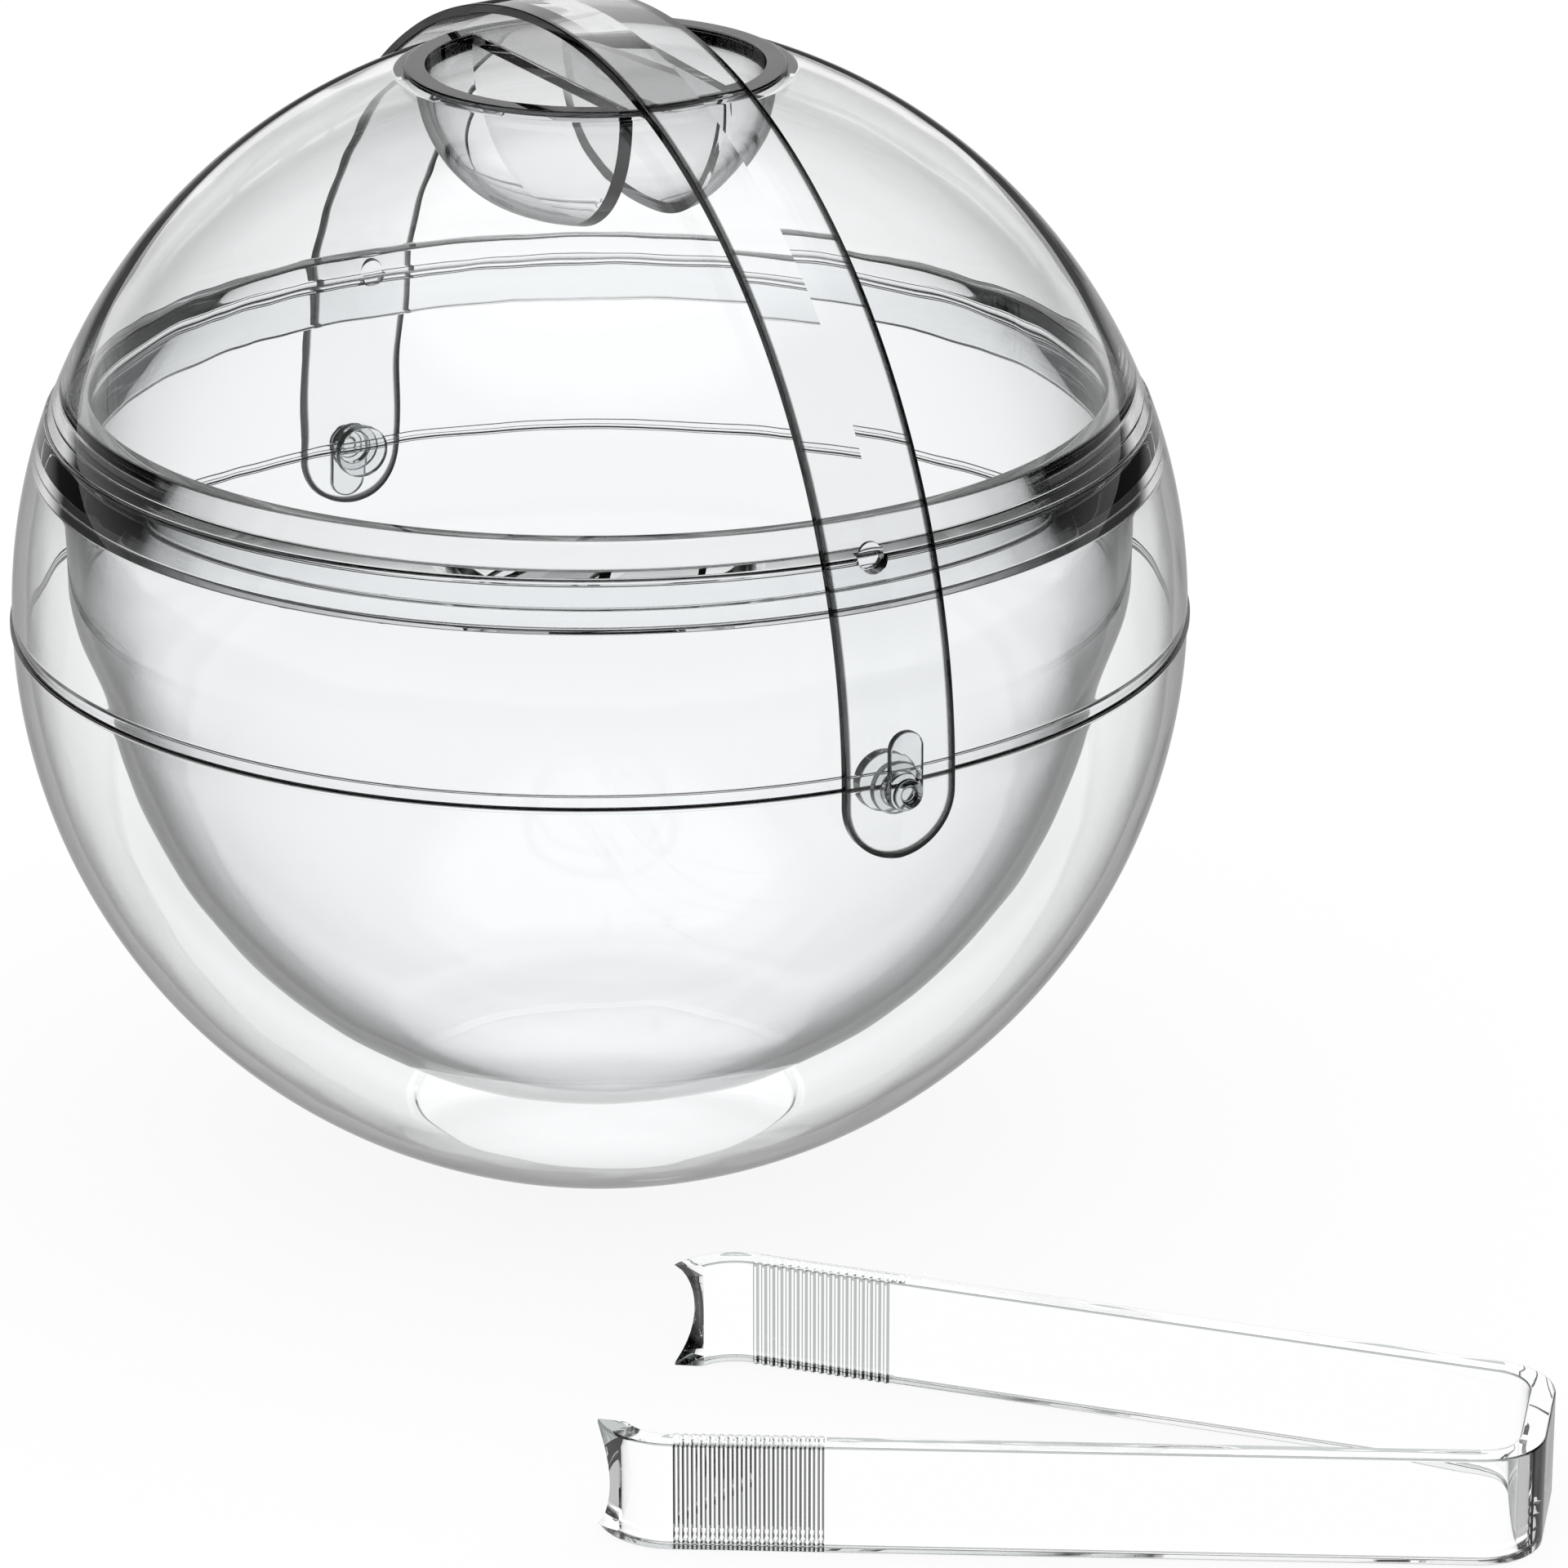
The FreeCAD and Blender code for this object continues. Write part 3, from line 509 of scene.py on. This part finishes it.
for name, node, side in (("pivot_pin_front_clear", "pivot_pin_front", 1.0),
                         ("pivot_pin_back_clear", "pivot_pin_back", -1.0)):
    stem_outline = np.array([
        (0.0, shoulder_in), (shoulder_radius, shoulder_in), (shoulder_radius, shoulder_out),
        (pin_radius, shoulder_out), (pin_radius, lug_in + step_tall),
        (pin_end_radius, lug_in + step_tall), (pin_end_radius, lug_out + end_proud),
        (dish_radius, lug_out + end_proud), (dish_floor, lug_out + dish_proud),
        (0.0, lug_out + dish_proud)])
    flange_outline = np.array([
        (0.0, flange_out - flange_thick), (flange_radius, flange_out - flange_thick),
        (flange_radius, flange_out), (0.0, flange_out)])
    stem_outline = soften(stem_outline, pin_round, closed=False) * [1.0, side]
    flange_outline = soften(flange_outline, flange_round, closed=False) * [1.0, side]
    stem = turned("stem", stem_outline, closed=False, steps=96, axis="X")
    flange = turned("flange", flange_outline, closed=False, steps=96, axis="X")
    pin = combined(combined(stem, lug_plate(side), "UNION"), flange, "UNION")
    new_piece(name, pin, "base", pin_acrylic, node)
    # painted shade on every face of the pin that doesn't face along its axis
    darken(pin, edge_shade_acrylic, edge_faces(pin, axis=0, least=-1.0))


# ---- Lid dome ----------------------------------------------------------------------------
# A clear dome with a thick rim that sits on the neck, a half-round key under the rim at
# each pivot, and a hole with a flat seat for the finger well.

lid_setback = 0.4
lid_rim_tall = 5.0
lid_rim_thick = 4.7
lid_round = 0.3
key_start, key_end = 1.9, 4.4
well_radius = 31.3
lip_overhang = 2.2
lip_margin = 1.7
lid_outside = ball_radius - lid_setback
lid_inside = lid_outside - shell_wall
lid_rim_top = lid_foot + lid_rim_tall
lid_rim_inside = math.sqrt(lid_outside ** 2 - lid_foot ** 2) - lid_rim_thick
lip_radius = well_radius + lip_overhang
lip_seat = math.sqrt(lid_outside ** 2 - (lip_radius + lip_margin) ** 2)
dome_hole = well_radius + glue_gap
dome_outline = np.concatenate([
    [(lid_rim_inside, lid_foot)],
    ball_arc(lid_outside, lid_foot, lip_seat, 80),
    [(dome_hole, lip_seat)],
    ball_arc(lid_inside, math.sqrt(lid_inside ** 2 - dome_hole ** 2), lid_rim_top, 80),
    [(lid_rim_inside, lid_rim_top)],
])
lid_acrylic = acrylic("lid_acrylic", tint=clear, rim=(0.15, 0.16, 0.17), rim_start=0.8,
                      mirror=0.6, edge=0.7, mask_group=wall_edges)
dome = turned("dome", soften(dome_outline, lid_round))
for side in (-1.0, 1.0):
    key_ends = (side * (lid_rim_inside + key_start), side * (lid_rim_inside + key_end))
    dome = combined(dome, rod(key_radius, key_ends, lid_foot), "UNION")
new_piece("lid_dome_clear", dome, "lid", lid_acrylic, "lid_dome")


# ---- Lid ring ----------------------------------------------------------------------------
# A ring bonded inside the dome's rim, which drops into the mouth and keeps the lid central.

ring_thick = 3.4
ring_drop = 7.6
ring_play = 0.5
ring_round = 0.5
ring_seat = lid_rim_inside - glue_gap
ring_inside = ring_seat - ring_thick
ring_foot = neck_top - ring_drop
ring_skirt = neck_radius - glue_gap - bowl_wall - ring_play
ring_outline = np.array([
    (ring_inside, ring_foot), (ring_skirt, ring_foot), (ring_skirt, lid_foot),
    (ring_seat, lid_foot), (ring_seat, lid_rim_top), (ring_inside, lid_rim_top)])
ring = turned("ring", soften(ring_outline, ring_round))
new_piece("lid_ring_clear", ring, "lid", lid_acrylic, "lid_ring")


# ---- Finger well -------------------------------------------------------------------------
# The lid's grip: a cup with a heavy rounded lip, parted by a bar under the strap, so that
# two pockets are left for the fingers. The bar is hollow from below.

well_wall = 1.5
well_depth = 27.0
well_corner = 24.0
bar_half = 10.1
bar_thick = 2.2
lip_thick = 1.1
lip_round = 0.7
cup_short = 0.2
cutter_down = 60.0
cutter_up = 5.0
cutter_over = 1.0
lip_top = lip_seat + lip_thick
well_steps = 192


def cup(inset, top):
    """A solid cup: a flat floor, a corner (c + r cos a, h + r sin a) and an upright side, inset
    from the cup's outside and reaching up to the top."""
    angle = np.linspace(-math.pi / 2.0, 0.0, 28)
    centre = (well_radius - well_corner, lip_top - well_depth + well_corner)
    corner = np.stack([centre[0] + (well_corner - inset) * np.cos(angle),
                       centre[1] + (well_corner - inset) * np.sin(angle)], axis=1)
    outline = np.concatenate([[(0.0, corner[0, 1])], corner, [(well_radius - inset, top), (0.0, top)]])
    return turned("cup", outline, closed=False, steps=well_steps)


def block(across, low, high):
    """A box along X, longer than the cup, from -across to across and from low to high."""
    length = 1.5 * well_radius
    x, y = length * np.array([-1, 1, 1, -1]), across * np.array([-1, -1, 1, 1])
    grid = np.stack([np.stack([x, y, np.full(4, float(level))], axis=1) for level in (low, high)])
    return skin("block", grid, (False, True))


lip_outline = np.array([
    (0.0, lip_seat), (lip_radius, lip_seat), (lip_radius, lip_top), (0.0, lip_top)])
lip = turned("lip", soften(lip_outline, lip_round, closed=False), closed=False, steps=well_steps)
bar = block(bar_half, lip_top - cutter_down, lip_top + cutter_up)
bar_hollow = block(bar_half - well_wall, lip_top - cutter_down, lip_top - bar_thick)
pockets = combined(cup(well_wall, lip_top + cutter_over), bar, "DIFFERENCE")
well = combined(cup(0.0, lip_top - cup_short), lip, "UNION")
well = combined(well, pockets, "DIFFERENCE")
well = combined(well, bar_hollow, "DIFFERENCE")
well_acrylic = acrylic("well_acrylic", tint=(0.99, 0.993, 0.996), rim=(0.0, 0.0, 0.0),
                       rim_start=0.45, mirror=0.12)
# Painted shade: a near black acrylic for the dark look of the well's upright wall.
well_wall_shade_acrylic = acrylic("well_wall_shade_acrylic", tint=(0.02, 0.021, 0.022), rim=(0.0, 0.0, 0.0),
                            rim_start=0.2, mirror=0.05)
new_piece("finger_well_clear", well, "lid", well_acrylic, "finger_well")
# painted shade on the well's upright wall, inside and out
darken(well, well_wall_shade_acrylic, ring_faces(well, well_radius - well_wall / 2.0, well_wall / 2.0 + 0.1,
                                           above=lip_top - well_depth + well_corner))


# ---- Handle strap ------------------------------------------------------------------------
# A strap over the lid from pivot to pivot, a shallow roof in section with a crease along its
# middle, with round ends and square moulded edges.

strap_half = 10.5
strap_tail = 12.0
strap_round = 0.25
end_short = 0.02
strap_edge_dark, strap_edge_fade = 0.7, 1.2
hole_in, hole_out = 3.0, 6.0
strap_crease = 20.0


def strap_grid():
    """Row by row along the strap, the section's loop.

    A row is at the angle a of the bend, from one round end over the crown to the other, and is w
    wide each way: w = strap_half on the run, and strap_half cos p past the centre of a round end,
    strap_half sin p below that centre. A point at y across and q out is (q cos a, y, q sin a).
    """
    middle = strap_inside + strap_edge / 2.0
    p = np.linspace(math.pi / 2.0 - end_short, 0.0, 36)
    shoulder = strap_tail - strap_half
    end_angle = np.arcsin((-shoulder - strap_half * np.sin(p)) / middle)
    run = np.linspace(end_angle[-1], math.pi - end_angle[-1], 260)[1:-1]
    angle = np.concatenate([end_angle, run, math.pi - end_angle[::-1]])[:, None]
    end_wide = strap_half * np.cos(p)
    wide = np.concatenate([end_wide, np.full(len(run), strap_half), end_wide[::-1]])[:, None]
    bend = np.minimum(strap_round, 0.45 * wide)
    t = np.linspace(0.0, math.pi / 2.0, 5)[None, :]
    low, high = strap_inside, strap_inside + strap_edge
    half_face = np.array([0.3, 0.6, 0.9, 0.96, 0.99])
    face = np.concatenate([-half_face[::-1], [0.0], half_face])[None, :]

    def roof(y):
        """How far out the top face is at y across: it falls evenly from the crease."""
        return high + strap_ridge * (1.0 - np.abs(y) / strap_half)

    y = [(wide - bend) * face, wide - bend + bend * np.sin(t), wide - bend + bend * np.cos(t),
         -(wide - bend) * face, -wide + bend - bend * np.sin(t), -wide + bend - bend * np.cos(t)]
    rising, falling = bend * (1.0 - np.cos(t)), bend * (1.0 - np.sin(t))
    q = [low + 0.0 * y[0], low + rising, roof(wide - bend) - falling,
         roof(y[3]), roof(wide - bend) - rising, low + falling]
    y, q = np.concatenate(y, axis=1), np.concatenate(q, axis=1)
    return np.stack([q * np.cos(angle), y, q * np.sin(angle)], axis=2)


def strap_edge_mask():
    """1 within strap_edge_dark of the strap's outline, falling to 0 at strap_edge_fade.

    The outline is where the length of (y, min(z, 0)) is strap_half, with z from the middle of
    the round end's circle.
    """
    group, result = group_of("strap_edge_mask", "Mask", "NodeSocketFloat")
    nodes, links = group.nodes, group.links
    place = nodes.new("ShaderNodeTexCoord")
    split = nodes.new("ShaderNodeSeparateXYZ")
    lower = nodes.new("ShaderNodeMath")
    lower.operation = "SUBTRACT"
    lower.inputs[1].default_value = (centre_height + strap_half - strap_tail) / metre
    below = nodes.new("ShaderNodeMath")
    below.operation = "MINIMUM"
    below.inputs[1].default_value = 0.0
    joined = nodes.new("ShaderNodeCombineXYZ")
    size = nodes.new("ShaderNodeVectorMath")
    size.operation = "LENGTH"
    fade = nodes.new("ShaderNodeMapRange")
    fade.interpolation_type = "SMOOTHSTEP"
    fade.inputs["From Min"].default_value = (strap_half - strap_edge_fade) / metre
    fade.inputs["From Max"].default_value = (strap_half - strap_edge_dark) / metre
    links.new(place.outputs["Object"], split.inputs["Vector"])
    links.new(split.outputs["Z"], lower.inputs[0])
    links.new(lower.outputs["Value"], below.inputs[0])
    links.new(split.outputs["Y"], joined.inputs["Y"])
    links.new(below.outputs["Value"], joined.inputs["Z"])
    links.new(joined.outputs["Vector"], size.inputs[0])
    links.new(size.outputs["Value"], fade.inputs["Value"])
    links.new(fade.outputs["Result"], result.inputs["Mask"])
    return group


# Painted shade: within strap_edge_dark of the strap's outline the colour is 0.02 of what it is, fading
# out by strap_edge_fade.
handle_acrylic = acrylic("handle_acrylic", tint=clear, rim=(0.15, 0.16, 0.17), rim_start=0.8,
                         mirror=0.8, edge=0.02, mask_group=strap_edge_mask())
strap = skin("strap", strap_grid(), (False, True))
for side in (-1.0, 1.0):
    hole_ends = (side * (strap_inside - hole_in), side * (strap_inside + hole_out))
    strap = combined(strap, rod(pin_radius + glue_gap, hole_ends, 0.0), "DIFFERENCE")
new_piece("handle_strap_clear", strap, "handle", handle_acrylic, "handle_strap",
          crease=strap_crease)
# the crease along the middle, where y is 0, stays sharp
ends = np.empty(2 * len(strap.edges), dtype=np.int32)
strap.edges.foreach_get("vertices", ends)
place = np.empty(3 * len(strap.vertices))
strap.vertices.foreach_get("co", place)
on_crease = np.abs(place[1::3]) < 1e-6
sharp = np.empty(len(strap.edges), dtype=bool)
strap.edges.foreach_get("use_edge_sharp", sharp)
strap.edges.foreach_set("use_edge_sharp", sharp | on_crease[ends].reshape(-1, 2).all(axis=1))


# ---- Tongs -------------------------------------------------------------------------------
# One strip of clear acrylic on its edge, bent at a flat bow into two splayed arms. Each arm
# ends in a claw that turns inward and is scooped out, beside a patch of small ribs.

tongs_width = 18.7
tongs_strip = 4.2
bow_corner = 11.0
bow_flat = 8.0
arm_splay = math.radians(8.3)
arm_length = 129.0
claw_radius = 13.0
claw_turn = math.radians(78.0)
claw_inner_turn = math.radians(56.0)
scoop_radius = 20.0
scoop_deep = 2.6
rib_count = 17
rib_pitch = 1.45
rib_tall = 0.5
rib_steep = 0.4
ribs_start, ribs_end = 114.0, 142.0
tongs_round = 0.4
tongs_apex = np.array([221.7, 56.6])
tongs_heading = math.radians(230.4)


def arm_lines(height):
    """The outer and inner line of one arm at each height above the table, its arm along +X.

    On the flat, the lines are straight, on the bow's corner and on the claw they are arcs
    c + r (sin b, cos b), and on the ribbed patch the inner line rises by a row of small flat
    ribs. The outer arc of the claw ends earlier at mid height, in the round scoop.
    """
    sine, cosine = math.sin(arm_splay), math.cos(arm_splay)
    bow = np.array([bow_corner * cosine + bow_flat * sine, bow_flat * cosine - bow_corner * sine])
    face = bow[1] + bow_corner
    flat = np.linspace(0.0, bow_flat, 5)[:, None] * [sine, cosine]
    b = np.linspace(arm_splay - math.pi / 2.0, 0.0, 36)[1:, None]
    out = [flat, bow + bow_corner * np.concatenate([np.sin(b), np.cos(b)], axis=1)]
    inside = [flat + tongs_strip * np.array([cosine, -sine]),
              bow + (bow_corner - tongs_strip) * np.concatenate([np.sin(b), np.cos(b)], axis=1)]
    ribbed = rib_count * rib_pitch
    plain = np.linspace(0.0, arm_length - ribbed, 9)[1:-1]
    patch = np.linspace(arm_length - ribbed, arm_length, 8 * rib_count + 1)
    along = np.concatenate([plain, patch])
    phase = ((along - (arm_length - ribbed)) / rib_pitch) % 1.0
    rib = rib_tall * np.clip(1.5 - np.abs(phase - 0.5) * 4.0, 0.0, 1.0)
    rise = np.where(along < arm_length - ribbed, 0.0, rib)
    out.append(np.stack([bow[0] + along, np.full(len(along), face)], axis=1))
    inside.append(np.stack([bow[0] + along, face - tongs_strip - rise], axis=1))
    out, inside = np.concatenate(out)[:, None, :], np.concatenate(inside)[:, None, :]
    still = np.zeros((1, len(height), 1))

    claw = np.array([bow[0] + arm_length, face - claw_radius])
    off = height - tongs_width / 2.0
    cut = scoop_deep - (scoop_radius - np.sqrt(scoop_radius ** 2 - off ** 2))
    last = np.arcsin(math.sin(claw_turn) - cut / claw_radius)
    t = np.linspace(0.0, 1.0, 25)[1:, None]
    b = t * last[None, :]
    tip_out = claw + claw_radius * np.stack([np.sin(b), np.cos(b)], axis=2)
    b = claw_inner_turn * t + 0.0 * last[None, :]
    tip_in = claw + (claw_radius - tongs_strip) * np.stack([np.sin(b), np.cos(b)], axis=2)
    return np.concatenate([out + still, tip_out]), np.concatenate([inside + still, tip_in])


def tongs_grid():
    """Both arms in one grid: rows from claw to claw, columns once round the strip's section.

    The section is a box with rounded corners. A point at depth d in it lies at the share d / w
    of the way from the arm's outer line to its inner one, with w the strip's thickness.
    """
    t = np.linspace(0.0, math.pi / 2.0, 5)
    rising, falling = tongs_round * (1.0 - np.cos(t)), tongs_round * (1.0 - np.sin(t))
    side = np.linspace(tongs_round, tongs_width - tongs_round, 13)[1:-1]
    across = np.linspace(tongs_round, tongs_strip - tongs_round, 4)[1:-1]
    depth = np.concatenate([0.0 * side, rising, across, tongs_strip - falling,
                            tongs_strip + 0.0 * side, tongs_strip - rising, across[::-1], falling])
    height = np.concatenate([side, tongs_width - falling, tongs_width + 0.0 * across,
                             tongs_width - rising, side[::-1], falling, 0.0 * across, rising])
    out, inside = arm_lines(height)
    share = (depth / tongs_strip)[None, :, None]
    half = out + share * (inside - out)
    halves = []
    for way in (1.0, -1.0):
        turn = tongs_heading + way * arm_splay
        x = tongs_apex[0] + half[:, :, 0] * math.cos(turn) - way * half[:, :, 1] * math.sin(turn)
        y = tongs_apex[1] + half[:, :, 0] * math.sin(turn) + way * half[:, :, 1] * math.cos(turn)
        z = np.broadcast_to(height[None, :] - centre_height, x.shape)
        halves.append(np.stack([x, y, z], axis=2))
    return np.concatenate([halves[0][::-1], halves[1][1:]])


def rib_flanks(mesh):
    """Which faces are the flanks of ribs: they lie in the ribbed patch's range of distances from
    the bow and turn away from the arm's face."""
    distance = np.linalg.norm(face_values(mesh, "center")[:, :2] * metre - tongs_apex, axis=1)
    along = np.array([math.cos(tongs_heading), math.sin(tongs_heading)])
    turned_off = np.abs(face_values(mesh, "normal")[:, :2] @ along) > rib_steep
    return (distance > ribs_start) & (distance < ribs_end) & turned_off


tongs_acrylic = acrylic("tongs_acrylic", tint=(0.985, 0.988, 0.988), rim=(0.15, 0.16, 0.17),
                        rim_start=0.5, mirror=0.85)
strip = skin("tongs", tongs_grid(), (False, True))
tongs = new_piece("tongs_clear", strip, None, tongs_acrylic, "tongs_near_half", "tongs_far_half")
# painted shade on the strip's rounded edges and on the ribs' flanks
darken(strip, edge_shade_acrylic, edge_faces(strip, axis=2, least=0.2) | rib_flanks(strip))
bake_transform(tongs)


# ---- Floor -------------------------------------------------------------------------------
# A plain white sheet that keeps a soft shadow. Seen in the acrylic it is a little over white
# near the object, for the light that the walls lose, and falls off further out and with each
# reflection on the way. Where the acrylic stands on it, it is brighter still.

floor_reach = 6.0
floor_under = 0.0003
white_reach, dull_reach = 0.65, 1.6
standing_gap, standing_light = 0.003, 1.15
own_light = 0.9


def after_reflections(nodes, links, straight, once, often):
    """How bright the sheet is after no, one or more reflections: straight, once or often.

    Half the number of reflections picks the step of a stepped ramp.
    """
    path = nodes.new("ShaderNodeLightPath")
    half = nodes.new("ShaderNodeMath")
    half.operation = "MULTIPLY"
    half.inputs[1].default_value = 0.5
    ramp = nodes.new("ShaderNodeValToRGB")
    ramp.color_ramp.interpolation = "CONSTANT"
    ramp.color_ramp.elements[0].color = (straight, straight, straight, 1.0)
    ramp.color_ramp.elements[1].position = 0.75
    ramp.color_ramp.elements[1].color = (often, often, often, 1.0)
    middle = ramp.color_ramp.elements.new(0.25)
    middle.color = (once, once, once, 1.0)
    links.new(path.outputs["Glossy Depth"], half.inputs[0])
    links.new(half.outputs["Value"], ramp.inputs["Fac"])
    return ramp.outputs["Color"]


floor_mesh = bpy.data.meshes.new("floor")
floor_mesh.from_pydata([(-floor_reach, -floor_reach, 0.0), (floor_reach, -floor_reach, 0.0),
                        (floor_reach, floor_reach, 0.0), (-floor_reach, floor_reach, 0.0)],
                       [], [(0, 1, 2, 3)])
floor = bpy.data.objects.new("floor", floor_mesh)
bpy.context.scene.collection.objects.link(floor)
floor.location.z = -floor_under
sheet = bpy.data.materials.new("white_sheet")
sheet.use_nodes = True
nodes, links = sheet.node_tree.nodes, sheet.node_tree.links
nodes.clear()
surface = nodes.new("ShaderNodeOutputMaterial")
matt = nodes.new("ShaderNodeBsdfDiffuse")
matt.inputs["Color"].default_value = (0.9, 0.9, 0.9, 1.0)
lit = nodes.new("ShaderNodeEmission")
seen = nodes.new("ShaderNodeMixShader")
seen.inputs["Fac"].default_value = own_light
links.new(matt.outputs["BSDF"], seen.inputs[1])
links.new(lit.outputs["Emission"], seen.inputs[2])
place = nodes.new("ShaderNodeNewGeometry")
distance = nodes.new("ShaderNodeVectorMath")
distance.operation = "LENGTH"
far = nodes.new("ShaderNodeMapRange")
far.interpolation_type = "SMOOTHSTEP"
far.inputs["From Min"].default_value = white_reach
far.inputs["From Max"].default_value = dull_reach
close = nodes.new("ShaderNodeMath")
close.operation = "LESS_THAN"
close.inputs[1].default_value = standing_gap
under = nodes.new("ShaderNodeMix")
under.data_type = "RGBA"
under.inputs["B"].default_value = (standing_light, standing_light, standing_light, 1.0)
through = nodes.new("ShaderNodeMix")
through.data_type = "RGBA"
glow = nodes.new("ShaderNodeEmission")
path = nodes.new("ShaderNodeLightPath")
direct = nodes.new("ShaderNodeMixShader")
links.new(place.outputs["Position"], distance.inputs[0])
links.new(distance.outputs["Value"], far.inputs["Value"])
links.new(far.outputs["Result"], through.inputs["Factor"])
near_light = after_reflections(nodes, links, straight=1.04, once=0.55, often=0.06)
far_light = after_reflections(nodes, links, straight=0.75, once=0.06, often=0.02)
links.new(near_light, through.inputs["A"])
links.new(far_light, through.inputs["B"])
links.new(path.outputs["Ray Length"], close.inputs[0])
links.new(close.outputs["Value"], under.inputs["Factor"])
links.new(through.outputs["Result"], under.inputs["A"])
links.new(under.outputs["Result"], glow.inputs["Color"])
links.new(path.outputs["Is Camera Ray"], direct.inputs["Fac"])
links.new(glow.outputs["Emission"], direct.inputs[1])
links.new(seen.outputs["Shader"], direct.inputs[2])
links.new(direct.outputs["Shader"], surface.inputs["Surface"])
floor_mesh.materials.append(sheet)


# ---- Light -------------------------------------------------------------------------------
# A white studio with soft light from all round. In the acrylic it is dark above the horizon,
# with a soft panel overhead and a white backdrop on the far side of the bucket.

overhead_dark = 0.025
panel_light = 1.2
backdrop = (-0.889, 0.457, 0.0)
backdrop_light = 0.95
backdrop_edge, backdrop_full = 0.78, 0.88
shadow_lift = 0.25
world = bpy.data.worlds.new("studio")
bpy.context.scene.world = world
world.use_nodes = True
nodes, links = world.node_tree.nodes, world.node_tree.links
sky = nodes["Background"]
place = nodes.new("ShaderNodeTexCoord")
split = nodes.new("ShaderNodeSeparateXYZ")
panel = nodes.new("ShaderNodeValToRGB")
stops = panel.color_ramp.elements
stops[0].color = (0.7, 0.7, 0.7, 1.0)
stops[1].color = (panel_light, panel_light, panel_light, 1.0)
for height, shade in ((0.15, overhead_dark), (0.80, overhead_dark), (0.88, panel_light)):
    stops.new(height).color = (shade, shade, shade, 1.0)
toward = nodes.new("ShaderNodeVectorMath")
toward.operation = "DOT_PRODUCT"
toward.inputs[1].default_value = backdrop
spread = nodes.new("ShaderNodeMapRange")
spread.interpolation_type = "SMOOTHSTEP"
spread.inputs["From Min"].default_value = backdrop_edge
spread.inputs["From Max"].default_value = backdrop_full
hung = nodes.new("ShaderNodeMix")
hung.data_type = "RGBA"
hung.inputs["B"].default_value = (backdrop_light, backdrop_light, backdrop_light, 1.0)
path = nodes.new("ShaderNodeLightPath")
open_air = nodes.new("ShaderNodeMath")
open_air.operation = "MAXIMUM"
both = nodes.new("ShaderNodeMix")
both.data_type = "RGBA"
both.inputs["B"].default_value = (1.0, 1.0, 1.0, 1.0)
lift = nodes.new("ShaderNodeMath")
lift.operation = "MULTIPLY_ADD"
lift.inputs[1].default_value = shadow_lift
lift.inputs[2].default_value = 1.0
links.new(place.outputs["Generated"], split.inputs["Vector"])
links.new(split.outputs["Z"], panel.inputs["Fac"])
links.new(path.outputs["Is Camera Ray"], open_air.inputs[0])
links.new(path.outputs["Is Diffuse Ray"], open_air.inputs[1])
links.new(open_air.outputs["Value"], both.inputs["Factor"])
links.new(place.outputs["Generated"], toward.inputs[0])
links.new(toward.outputs["Value"], spread.inputs["Value"])
links.new(spread.outputs["Result"], hung.inputs["Factor"])
links.new(panel.outputs["Color"], hung.inputs["A"])
links.new(hung.outputs["Result"], both.inputs["A"])
links.new(both.outputs["Result"], sky.inputs["Color"])
links.new(path.outputs["Is Diffuse Ray"], lift.inputs[0])
links.new(lift.outputs["Value"], sky.inputs["Strength"])


# ---- Camera ------------------------------------------------------------------------------
# It looks down on the ball, which stands up and to the left of the picture's middle.

camera = bpy.data.objects.new("camera", bpy.data.cameras.new("camera"))
bpy.context.scene.collection.objects.link(camera)
bpy.context.scene.camera = camera
camera.data.sensor_width = 36.0
camera.data.lens = 161.3
camera_distance = 1.26
sight_azimuth, sight_elevation = math.radians(62.8), math.radians(19.2)
camera_heading, camera_dip = math.radians(61.221), math.radians(20.691)
ball = np.array([0.0, 0.0, centre_height / metre])
to_camera = np.array([math.sin(sight_azimuth) * math.cos(sight_elevation),
                      -math.cos(sight_azimuth) * math.cos(sight_elevation), math.sin(sight_elevation)])
camera.location = ball + camera_distance * to_camera
camera.rotation_euler = (math.pi / 2.0 - camera_dip, 0.0, camera_heading)

scene = bpy.context.scene
scene.view_settings.view_transform = "Standard"
scene.cycles.max_bounces = 32
scene.cycles.transmission_bounces = 32
scene.cycles.glossy_bounces = 12
scene.cycles.transparent_max_bounces = 32
